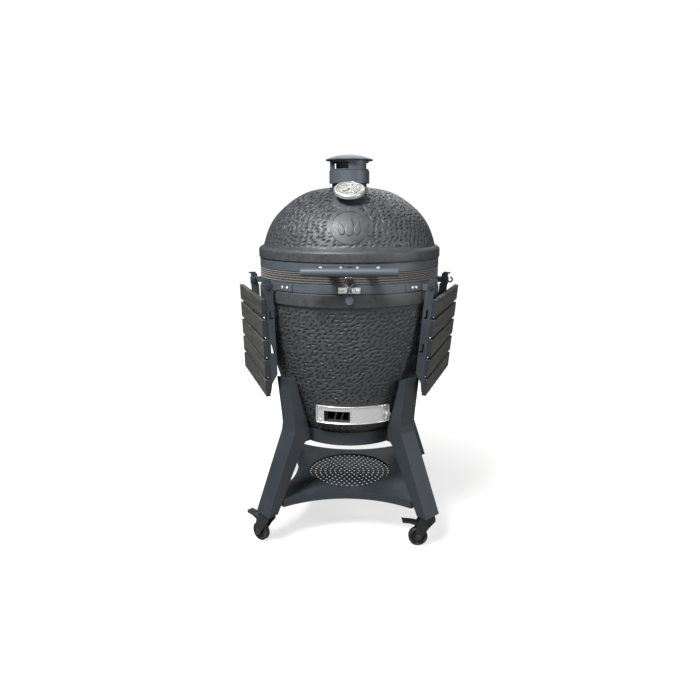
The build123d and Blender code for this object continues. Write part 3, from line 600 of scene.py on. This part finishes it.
def turned_shell(name, node, outline, skin, angles, skin_radius, pits, hole=None):
    """A closed shell turned about Z. skin_radius holds the radius of each skin row and column."""
    count = len(angles)
    points = []
    for row, (radius, z) in enumerate(outline):
        r = skin_radius[row - skin[0]] if skin[0] <= row < skin[1] else np.full(count, radius)
        points.append(np.column_stack([r * np.cos(angles), r * np.sin(angles), np.full(count, z)]))
    rows = len(outline)
    faces = []
    for row in range(rows):
        below = row * count
        above = (row + 1) % rows * count
        for i in range(count):
            if hole and hole["columns"][0] <= i < hole["columns"][1]:
                if any(span[0] <= row < span[1] for span in hole["rows"]):
                    continue
            j = (i + 1) % count
            faces.append((below + i, below + j, above + j, above + i))
    if hole:
        faces.extend(hole_walls(hole, count))
    piece = make_piece(name, np.concatenate(points), faces, BODY_OF[node], SLOT_OF[node], [node])
    weights = np.zeros((rows, count), np.float32)
    weights[skin[0]:skin[1]] = pits
    piece.data.attributes.new("pit", "FLOAT", "POINT").data.foreach_set("value", weights.ravel())
    return piece


def hole_walls(hole, count):
    """Faces that join the edges of the hole in the outer skin to those in the inner one."""
    (left, right), ((out_low, out_high), (in_low, in_high)) = hole["columns"], hole["rows"]
    walls = []
    for outer, inner in ((out_low, in_high), (out_high, in_low)):
        for i in range(left, right):
            a = outer * count + i
            b = inner * count + i
            walls.append((a, a + 1, b + 1, b))
    for i in (left, right):
        for k in range(out_high - out_low):
            a = (out_low + k) * count + i
            b = (in_high - k) * count + i
            walls.append((a, a + count, b - count, b))
    return walls


def skin_columns(keys=()):
    """Azimuths in radians of the skin's columns, one at each key given in degrees right of the front."""
    marks = [FRONT + key for key in keys]
    return np.radians(stations(FRONT - 180, FRONT + 180, COLUMN_STEP, *marks)[:-1])


def away_from(points, centre, inner, outer):
    """0 within inner of a centre, 1 beyond outer."""
    return ease(np.linalg.norm(points - np.array(centre), axis=-1), inner, outer)


def skin_points(radii, heights, angles):
    return np.stack([
        radii[:, None] * np.cos(angles)[None, :],
        radii[:, None] * np.sin(angles)[None, :],
        np.repeat(heights[:, None], len(angles), axis=1),
    ], axis=-1)


def vent_seat_share(heights, right_of_front):
    """1 on the flat seat that the vent frame lies on, 0 off it."""
    left, right, low, high = VENT_SEAT
    level = window(heights, (low - 2, low + 2), (high - 1, high + 4))
    aside = window(right_of_front, (left - 0.6, left), (right, right + 0.6))
    return level[:, None] * aside[None, :]


def near_vent_share(heights, right_of_front):
    """1 on the seat and the smooth margin round it, 0 on the textured skin."""
    left, right, low, high = VENT_SEAT
    level = window(heights, (low - 9, low - 3), (high + 3, high + 9))
    aside = window(right_of_front, (left - 2.5, left - 0.7), (right + 0.7, right + 2.5))
    return level[:, None] * aside[None, :]


def base_collar():
    """Outline from the top of the skin over the collar and the rim to the inside."""
    return rounded([
        (*BASE_SKIN[-1], 0), (LIP_R, COLLAR_LOW, 2), (LIP_R, COLLAR_TOP, 2.5), (GROOVE_R, COLLAR_TOP, 0.8),
        (GROOVE_R, BASE_RIM, 1.5), (MOUTH_R, BASE_RIM, 2), (*BASE_INSIDE[-1], 0),
    ], 1, closed=False)[1:-1]


def build_base_shell():
    """The egg's lower half: dimpled skin, smooth collar, vent seat and draft hole."""
    dense = smooth_curve(BASE_SKIN, 2000)
    inside = smooth_curve(BASE_INSIDE, 2000)
    heights = stations(BASE_SKIN[0][1], BASE_SKIN[-1][1], SKIN_STEP * 0.94,
                       VENT_SEAT[2], VENT_HOLE[2], VENT_HOLE[3], VENT_SEAT[3])
    radii = np.interp(heights, dense[:, 1], dense[:, 0])
    lengths = np.concatenate([[0], np.cumsum(np.hypot(np.diff(radii), np.diff(heights)))])
    angles = skin_columns((*VENT_SEAT[:2], *VENT_HOLE[:2]))
    right_of_front = (np.degrees(angles) - FRONT + 180) % 360 - 180

    textured = window(heights, (heights[0] + 30, heights[0] + 50), (741, 753))
    textured = textured[:, None] * (1 - near_vent_share(heights, right_of_front))
    depth = dimple_field(angles, radii, lengths, BASE_SEEDS[0]) * textured
    waves = surface_waves(angles, lengths, BASE_SEEDS[1]) * textured
    seat = vent_seat_share(heights, right_of_front)
    skin_radius = radii[:, None] - depth + WAVE_HEIGHT * waves
    skin_radius = skin_radius * (1 - seat) + VENT_SEAT_R * seat

    hole_rows = [int(np.nonzero(np.isclose(heights, z))[0][0]) for z in VENT_HOLE[2:]]
    columns = [int(np.argmin(abs(right_of_front - azimuth))) for azimuth in VENT_HOLE[:2]]
    inner_heights = np.concatenate([
        stations(BASE_INSIDE[0][1], VENT_HOLE[2], 12)[:-1],
        heights[hole_rows[0]:hole_rows[1]],
        stations(VENT_HOLE[3], BASE_INSIDE[-1][1], 14),
    ])[::-1]
    inner = list(zip(np.interp(inner_heights, inside[:, 1], inside[:, 0]), inner_heights))
    floor = [(90, 334), (20, 334), (20, 305), (110, 305), (155, 305), (158.5, 305)]
    collar = base_collar()
    outline = list(zip(radii, heights)) + collar + inner + floor
    inner_start = len(radii) + len(collar)
    in_rows = [inner_start + int(np.argmin(abs(inner_heights - z))) for z in (VENT_HOLE[3], VENT_HOLE[2])]
    hole = {"columns": columns, "rows": (hole_rows, in_rows)}
    pits = np.clip(depth / DIMPLE_DEPTH[1], 0, 1)
    return turned_shell("base_shell_glazed", "base_shell", outline, (0, len(radii)), angles,
                        skin_radius, pits, hole)


def dome_neck():
    """Outline from the top of the skin over the flue's neck to the inside."""
    return rounded([
        (*DOME_SKIN[-1], 0), (NECK_R, 1103, 1.5), (NECK_R, NECK_TOP, 1.5), (FLUE_R, NECK_TOP, 1.5),
        (*DOME_INSIDE[-1], 0),
    ], 1, closed=False)[1:-1]


def dome_lip():
    """Outline from the inside round the rim and the lip to the foot of the skin."""
    return rounded([
        DOME_INSIDE[0], (MOUTH_R, DOME_LIP_LOW, 3), (MOUTH_R, DOME_RIM, 1.5), (GROOVE_R, DOME_RIM, 1.5),
        (GROOVE_R, DOME_LIP_LOW, 0.8), (LIP_R, DOME_LIP_LOW, 3), (LIP_R, DOME_LIP_TOP, 7), (282, 921, 4),
        (*DOME_SKIN[0], 0),
    ], 1, steps=4, closed=False)[1:-1]


def build_dome_shell():
    """The lid's ceramic: dimpled skin, smooth lip, emblem field and neck."""
    skin = smooth_curve(DOME_SKIN, round(DOME_SKIN_LENGTH / SKIN_STEP))
    radii = skin[:, 0]
    heights = skin[:, 1]
    lengths = np.concatenate([[0], np.cumsum(np.hypot(np.diff(radii), np.diff(heights)))])
    angles = skin_columns()
    points = skin_points(radii, heights, angles)
    textured = ease(lengths, 3, 14)[:, None] * away_from(points, EMBLEM_CENTRE, 58, 66)
    textured = textured * away_from(points, DIAL_FIELD, 44, 58)
    textured = textured * (1 - ease(lengths, lengths[-1] - 24, lengths[-1] - 12))[:, None]
    depth = dimple_field(angles, radii, lengths, DOME_SEEDS[0]) * textured
    waves = surface_waves(angles, lengths, DOME_SEEDS[1]) * textured
    slope = np.gradient(heights) / np.maximum(np.hypot(np.gradient(radii), np.gradient(heights)), 1e-9)
    out = (-depth + WAVE_HEIGHT * waves) / np.maximum(np.abs(slope), 0.45)[:, None]
    skin_radius = np.linalg.norm(points[..., :2], axis=-1) + out
    inner = [tuple(point) for point in smooth_curve(DOME_INSIDE, 26)[::-1]]
    outline = list(zip(radii, heights)) + dome_neck() + inner + dome_lip()
    pits = np.clip(depth / DIMPLE_DEPTH[1], 0, 1)
    return turned_shell("dome_shell_glazed", "dome_shell", outline, (0, len(radii)), angles,
                        skin_radius, pits)


# ---------------------------------------------------------------- emblem on the dome


def on_dome(x, rise, lift):
    """Point on the dome's front, x and rise from the emblem's centre along the skin, lifted off it."""
    curve = smooth_curve(DOME_SKIN, 600)
    lengths = np.concatenate([[0], np.cumsum(np.linalg.norm(np.diff(curve, axis=0), axis=1))])
    centre = np.interp(EMBLEM_CENTRE.z, curve[:, 1], lengths)
    here = centre + rise
    radius, z = (float(np.interp(here, lengths, curve[:, axis])) for axis in (0, 1))
    ahead_r, ahead_z = (float(np.interp(here + 1, lengths, curve[:, axis])) for axis in (0, 1))
    normal = Vector((ahead_z - z, radius - ahead_r)).normalized()
    angle = radians(FRONT) + x / radius
    r = radius + normal.x * lift
    return Vector((r * cos(angle), r * sin(angle), z + normal.y * lift))


def relief(shape, ring_at, count, height, hollow=0.0):
    """A low relief on the dome. ring_at(share, k) gives (x, rise) for the outline shrunk to a share."""
    steps = [(1.0, -1.0), (1.0, 0.25 * height), (0.96, 0.8 * height), (0.9, height)]
    if hollow:
        steps += [(hollow + 0.04, height), (hollow + 0.01, 0.8 * height)]
        steps += [(hollow, 0.25 * height), (hollow, -1.0)]
    else:
        steps += [(0.6, height * 1.05), (0.3, height * 1.05), (0.05, height * 1.05)]
    rings = [[on_dome(*ring_at(share, k), lift) for k in range(count)] for share, lift in steps]
    shape.loft(rings, closed=bool(hollow))


def tongue(width, height, base, lean):
    """Outline function of one flame tongue: a drop with its tip leaning aside."""

    def ring_at(share, k):
        a = 2 * pi * k / 40
        drop = (1 + cos(a)) / 2
        x = width * sin(a) * (1 - 0.78 * drop**1.3) * 1.25
        y = height * (drop**0.9)
        middle = Vector((0, 0.36 * height))
        point = middle + (Vector((x, y)) - middle) * share
        bend = lean * (point.y / height) ** 2
        return base[0] + point.x + bend, base[1] + point.y

    return ring_at


def build_emblem():
    """A plain ring with a three-tongued flame, raised in the same glaze."""
    shape = Shape()
    relief(shape, lambda share, k: (EMBLEM_R * share * cos(2 * pi * k / 96),
                                    EMBLEM_R * share * sin(2 * pi * k / 96)),
           96, EMBLEM_HEIGHT, hollow=0.92)
    tongues = [(15, 62, (0, -30), 5), (10.5, 40, (-21, -27), -6), (10.5, 44, (21, -27), 7)]
    for width, height, base, lean in tongues:
        relief(shape, tongue(width, height, base, lean), 40, EMBLEM_HEIGHT)
    shape.piece("dome_emblem", "lid", "shell_ceramic", crease=60)


# ---------------------------------------------------------------- thermometer


def build_thermometer():
    """Rolled bezel, the marks printed round the dial, and the needle's hub."""
    centre = Vector(JOINTS["needle_turn"]["pos_m"]) / MM
    axis = -Vector(JOINTS["needle_turn"]["axis"])
    place = placed(centre, axis, (1, 0, 0))
    bezel = Shape()
    bezel.lathe(rounded([
        (41.2, -9), (45, -9, 2), (45, 1.5, 3), (41, 4, 3), (37.3, 4, 0.8), (37.3, 3.3), (40, 1.2), (41.2, 0),
    ], 0.4, 4), place, 96, closed=True)
    bezel.piece("thermometer_bezel_rolled", "lid", "stainless", ["thermometer_bezel"])

    marks = Shape()
    hot = Shape()
    for k in range(DIAL_MARKS):
        angle = radians(FIRST_MARK - MARK_STEP * k)
        major = k % 5 == 0
        near, far, half = (26.0, 33.5, 0.55) if major else (30.0, 33.5, 0.28)
        corners = [(-half, near), (half, near), (half, far), (-half, far)]
        target = hot if k >= HOT_FROM else marks
        rings = []
        for z in PRINT:
            ring = []
            for x, y in corners:
                turned = Vector((x * cos(angle) - y * sin(angle), x * sin(angle) + y * cos(angle), z))
                ring.append(place @ turned)
            rings.append(ring)
        target.loft(rings)
    low, high = PRINT
    marks.lathe([(19.6, low), (20.3, low), (20.3, high), (19.6, high)], place, 72, closed=True)
    marks.piece("dial_marks", "lid", "needle_black")
    hot.piece("dial_marks_hot", "lid", "needle_black", material=SCALE_RED)

    cap = Shape()
    cap.lathe(rounded([(0.3, 0.5), (2.6, 0.5), (2.6, 1.75, 0.4), (0.3, 1.75)], 0, 3), place, 24)
    cap.piece("needle_hub", "needle", "needle_black")


# ---------------------------------------------------------------- fasteners


def heads_of(node, reach=12.0):
    """Centres in millimetres of the separate small solids in a node."""
    groups = []
    for vertex in frame["nodes"][node].data.vertices:
        point = vertex.co / MM
        for group in groups:
            if (group[0] - point).length < reach:
                group.append(point)
                break
        else:
            groups.append([point])
    centres = []
    for group in groups:
        spots = np.array(group)
        centres.append(Vector((spots.min(axis=0) + spots.max(axis=0)) / 2))
    return centres


def hexagon_r(across, angle):
    """Radius of a hexagon at an angle."""
    wedge = (angle % (pi / 3)) - pi / 6
    return across / 2 / cos(wedge)


def socket_head(shape, place, radius, height, socket):
    """A button head with a hexagon socket, standing on the local z = 0."""
    profile = [(radius, -0.6), (radius, 0.18 * height), (0.93 * radius, 0.55 * height),
               (0.78 * radius, 0.83 * height), (0.58 * radius, height)]
    angles = [2 * pi * k / 36 for k in range(36)]
    rings = [[place @ Vector((r * cos(a), r * sin(a), z)) for a in angles] for r, z in profile]
    for share, z in ((1.08, height), (1.0, height - 0.25), (1.0, 0.35 * height)):
        rings.append([
            place @ Vector((hexagon_r(socket * share, a) * cos(a), hexagon_r(socket * share, a) * sin(a), z))
            for a in angles
        ])
    shape.loft(rings)


def build_screws():
    """Button-head screws in place of the plain heads on the lid and the base."""
    for node, body in (("lid_screws", "lid"), ("base_screws", "grill")):
        heads = Shape()
        for centre in heads_of(node):
            outward = Vector((centre.x, centre.y, 0)).normalized()
            if centre.y < -280 and centre.z < 820:  # the latch plate is flat and faces the front
                outward = Vector((0, -1, 0))
            socket_head(heads, placed(centre - outward * 1.3, outward), 5.0, 3.0, 2.6)
        heads.piece(node + "_sockets", body, SLOT_OF[node], [node])


def build_vent_bead():
    """A rolled bead round the vent's frame."""
    low, high = (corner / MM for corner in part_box("vent_frame"))
    radius = -low.y
    reach = radius * radians((VENT_SEAT[1] - VENT_SEAT[0] - 3) / 2)
    middle = FRONT + (VENT_SEAT[0] + VENT_SEAT[1]) / 2
    centre_z = (low.z + high.z) / 2
    half_z = (high.z - low.z) / 2 - 1
    corners = [(-reach, -half_z), (reach, -half_z), (reach, half_z), (-reach, half_z)]
    path = []
    for along, rise in rounded([(*corner, 7) for corner in corners], 7, 6):
        angle = radians(middle) + along / radius
        path.append((radius * cos(angle), radius * sin(angle), centre_z + rise))
    dense = []
    for a, b in zip(path, path[1:] + path[:1]):
        gap = Vector(b) - Vector(a)
        steps = max(1, round(gap.length / 6))
        for step in range(steps):
            point = Vector(a) + gap * step / steps
            flat = Vector((point.x, point.y, 0)).normalized() * radius
            dense.append((flat.x, flat.y, point.z))
    bead = Shape()
    bead.tube(dense, 1.5, 10, closed=True)
    bead.piece("vent_frame_bead", "grill", "stainless", crease=60)


def build_door_lip():
    """A lip on the sliding door's leading edge."""
    low, high = (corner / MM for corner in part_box("vent_door"))
    angle = radians(FRONT + 1.4)
    radius = -low.y + 0.3
    lip = Shape()
    lip.tube([(radius * cos(angle), radius * sin(angle), z) for z in (low.z + 1.5, high.z - 1.5)], 1.3, 12)
    lip.piece("vent_door_lip", BODY_OF["vent_door"], "stainless", crease=60)


# ---------------------------------------------------------------- hinge springs and grid


def build_springs():
    """Two coil springs round the hinge pin."""
    pin = Vector(JOINTS["lid_hinge"]["pos_m"]) / MM
    springs = Shape()
    wire = 1.6
    coil_r = 8.4
    turns = 8
    for low, high in ((-37, -5), (5, 37)):
        path = []
        steps = turns * 20
        for k in range(steps + 1):
            a = 2 * pi * k / 20
            x = low + wire + (high - low - 2 * wire) * k / steps
            path.append(pin + Vector((x, -coil_r * cos(a), coil_r * sin(a))))
        springs.tube(path, wire, 10)
    springs.piece("hinge_springs_coiled", "grill", SLOT_OF["hinge_springs"], ["hinge_springs"])


def build_cooking_grid():
    """Round rods welded to a ring and two cross rods."""
    low, high = (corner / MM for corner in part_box("cooking_grid"))
    radius = high.x - 3
    level = (low.z + high.z) / 2
    grid = Shape()
    circle = [(radius * cos(2 * pi * k / 96), radius * sin(2 * pi * k / 96), level) for k in range(96)]
    grid.tube(circle, 3, 12, closed=True)
    for row in range(-10, 11):
        x = row * ROD_PITCH
        reach = sqrt(radius**2 - x**2)
        grid.tube([(x, -reach, level + 0.5), (x, reach, level + 0.5)], 2.5)
    for y in CROSS_RODS:
        reach = sqrt(radius**2 - y**2)
        grid.tube([(-reach, y, level - 0.6), (reach, y, level - 0.6)], 2.4)
    grid.piece("cooking_grid_rods", "cooking_grid", "stainless", ["cooking_grid"])


# ---------------------------------------------------------------- casters


def build_wheels():
    """Twin-chamfered tyres on ribbed hubs."""
    tyre = [(20.5, -8.5), (22.5, -10.2, 1.5), (27, -10.8, 2.5), (30, -7.5, 3), (30, 7.5, 3),
            (27, 10.8, 2.5), (22.5, 10.2, 1.5), (20.5, 8.5)]
    hub = [(4.1, -10.4), (7.5, -10.4, 1), (8.5, -7), (18.5, -6.5), (19.5, -9.3, 1), (21, -9.3, 0.6),
           (21, 9.3, 0.6), (19.5, 9.3, 1), (18.5, 6.5), (8.5, 7), (7.5, 10.4, 1), (4.1, 10.4)]
    for corner in CORNERS:
        joint = JOINTS[f"caster_{corner}_roll"]
        node = f"caster_{corner}_wheel"
        place = placed(Vector(joint["pos_m"]) / MM, joint["axis"])
        wheel = Shape()
        wheel.lathe(rounded(tyre, 0.5), place, 72, closed=True)
        wheel.piece(node + "_tyre", BODY_OF[node], "caster_tyre", [node])
        core = Shape()
        core.lathe(rounded(hub, 0.5), place, 72, closed=True)
        for k in range(8):
            a = 2 * pi * k / 8
            for side in (-1, 1):
                ribs = [
                    [place @ Vector((r * cos(a) - w * sin(a), r * sin(a) + w * cos(a), side * z))
                     for w, z in ((-1, 6.2), (1, 6.2), (0.8, 8.6), (-0.8, 8.6))]
                    for r in (8.2, 19.2)
                ]
                core.loft(ribs)
        core.piece(node + "_hub", BODY_OF[node], "caster_black")


def build_hub_caps():
    """Grey caps over the axle ends, outside each fork."""
    outline = rounded([(0.2, 15.0), (9.5, 15.0), (9.5, 16.4, 0.8), (6, 17.4, 1), (0.2, 17.6)], 0, 3)
    for corner in CORNERS:
        joint = JOINTS[f"caster_{corner}_roll"]
        centre = Vector(joint["pos_m"]) / MM
        caps = Shape()
        for side in (-1, 1):
            axis = Vector(joint["axis"]) * side
            caps.lathe(outline, placed(centre, axis), 36)
        caps.piece(f"caster_{corner}_caps", f"caster_{corner}", "caster_black", material=HUB_GREY)


# ---------------------------------------------------------------- felt seals


def build_felts():
    """Ribbed felt seals: stacked cords outside the two rims, joined to a pad between the rims."""
    for node, ribs, sign in (("base_gasket", 2, -1), ("dome_gasket", 3, 1)):
        low, high = (corner.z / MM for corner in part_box(node))
        face, edge = (high, low) if sign < 0 else (low, high)
        rim = face + sign * FELT_PAD
        pitch = abs(edge - face) / ribs
        outline = [(MOUTH_R + 0.6, rim, 0), (MOUTH_R + 0.6, face, 0)]
        for rib in range(ribs):
            for step in range(9):
                swell = max(0.0, sin(pi * step / 8)) ** 0.6
                outline.append((FELT_R - 2.2 + 2.2 * swell, face + sign * pitch * (rib + step / 8), swell))
        outline.extend([(GROOVE_R + 0.15, edge, 0), (GROOVE_R + 0.15, rim, 0)])
        seal = Shape()
        seal.lathe([point[:2] for point in outline], Matrix(), FELT_SEGMENTS, closed=True)
        piece = seal.piece(node + "_ribbed", BODY_OF[node], "felt", [node], crease=50)
        # the crest shares mark where the felt's painted highlight goes
        crests = np.repeat([point[2] for point in outline], FELT_SEGMENTS)
        piece.data.attributes.new("crest_highlight", "FLOAT", "POINT").data.foreach_set("value", crests)


# ---------------------------------------------------------------- carried-over parts

EDGE_WIDTHS = {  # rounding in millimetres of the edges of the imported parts
    "leg_": 2.2,
    "cart_shelf": 0.8,
    "cart_ring": 0.8,
    "caster_": 1.4,
    "firebox": 2.5,
    "fire_ring": 3.0,
    "damper": 0.9,
    "thermometer": 0.3,
    "latch_": 0.45,
    "right_table_slats": 0.6,
    "left_table_slats": 0.6,
}


def round_edges(node, width):
    """Joins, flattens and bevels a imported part's faces by modifiers."""
    weld = node.modifiers.new("weld", "WELD")
    weld.merge_threshold = 1e-5
    flat = node.modifiers.new("flat", "DECIMATE")
    flat.decimate_type = "DISSOLVE"
    flat.angle_limit = radians(0.6)
    edge = node.modifiers.new("edge", "BEVEL")
    edge.width = width * MM
    edge.segments = 2
    edge.limit_method = "ANGLE"
    edge.angle_limit = radians(30)
    edge.miter_outer = "MITER_ARC"
    node.modifiers.new("normal", "WEIGHTED_NORMAL").keep_sharp = True


def dress_cad_nodes():
    """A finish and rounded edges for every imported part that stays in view."""
    for name, node in frame["nodes"].items():
        node.data.materials.clear()
        node.data.materials.append(MATERIALS[SLOT_OF[name]])
        if name in OWN_FINISH:
            node.data.materials[0] = OWN_FINISH[name]
        if node.hide_render:
            continue
        widths = [width for start, width in EDGE_WIDTHS.items() if name.startswith(start)]
        round_edges(node, widths[0] if widths else 0.5)


# ---------------------------------------------------------------- studio


def bright_for_camera(tree, shown, lighting):
    """Mixes two shaders of the studio: one as the camera sees it, one as it lights the object."""
    path = tree.nodes.new("ShaderNodeLightPath")
    mix = tree.nodes.new("ShaderNodeMixShader")
    tree.links.new(path.outputs["Is Camera Ray"], mix.inputs[0])
    tree.links.new(lighting.outputs[0], mix.inputs[1])
    tree.links.new(shown.outputs[0], mix.inputs[2])
    return mix.outputs[0]


def build_stage():
    """A white floor that keeps only a pale shadow."""
    g = Graph("studio_floor", Roughness=0.9, Specular_IOR_Level=0.0)
    g.finish(g.blend(g.span(g.noise(3, 3), 0.3, 0.7), tint("868584"), tint("8c8b8a")))
    away = g.add("VectorMath", {0: g.coords}, operation="LENGTH").outputs["Value"]
    glow = g.add("Emission", {"Strength": g.span(away, *FLOOR_FADE, FLOOR_GLOW, 1.0)})
    shown = g.add("AddShader", {0: glow.outputs[0], 1: g.shader.outputs[0]})
    dull = g.add("BsdfDiffuse", {"Color": tint("8c8c8c")})
    surface = bright_for_camera(g.tree, shown, dull)
    g.put(g.tree.nodes["Material Output"].inputs["Surface"], surface)
    square = ((-1, -1), (1, -1), (1, 1), (-1, 1))
    corners = [Vector((x * FLOOR_HALF, y * FLOOR_HALF, FLOOR_Z)) for x, y in square]
    mesh = bpy.data.meshes.new("studio_floor")
    mesh.from_pydata(corners, [], [(0, 1, 2, 3)])
    mesh.materials.append(g.material)
    stage = bpy.data.objects.new("studio_floor", mesh)
    bpy.context.scene.collection.objects.link(stage)


def soft_light(name, place, target, size, watts):
    """A rectangular area light aimed at target, in metres."""
    light = bpy.data.lights.new(name, "AREA")
    light.shape = "RECTANGLE"
    light.size, light.size_y = size
    light.energy = watts
    lamp = bpy.data.objects.new(name, light)
    lamp.location = place
    lamp.rotation_euler = (Vector(target) - Vector(place)).to_track_quat("-Z", "Y").to_euler()
    bpy.context.scene.collection.objects.link(lamp)


def build_lights():
    """A key from above the left front, front and right fills, a back light and a dim surround."""
    for light in LIGHTS:
        soft_light(*light)
    world = bpy.data.worlds.new("studio")
    world.use_nodes = True
    tree = world.node_tree
    shown = tree.nodes["Background"]
    shown.inputs["Color"].default_value = (1, 1, 1, 1)
    shown.inputs["Strength"].default_value = 1.0
    lighting = tree.nodes.new("ShaderNodeBackground")
    lighting.inputs["Color"].default_value = (1, 1, 1, 1)
    lighting.inputs["Strength"].default_value = SURROUND
    tree.links.new(bright_for_camera(tree, shown, lighting), tree.nodes["World Output"].inputs["Surface"])
    bpy.context.scene.world = world
    bpy.context.scene.view_settings.view_transform = "Standard"


def build_camera():
    """The camera, at the viewing angle of the studio picture."""
    camera = bpy.data.cameras.new("camera")
    camera.lens = CAMERA_LENS
    camera.sensor_width = 36
    holder = bpy.data.objects.new("camera", camera)
    holder.location = CAMERA_PLACE
    holder.rotation_euler = (radians(90 - CAMERA_DOWN), 0, 0)
    bpy.context.scene.collection.objects.link(holder)
    bpy.context.scene.camera = holder


build_base_shell()
build_dome_shell()
build_emblem()
build_thermometer()
build_screws()
build_vent_bead()
build_door_lip()
build_springs()
build_felts()
build_cooking_grid()
build_wheels()
build_hub_caps()
dress_cad_nodes()
build_stage()
build_lights()
build_camera()
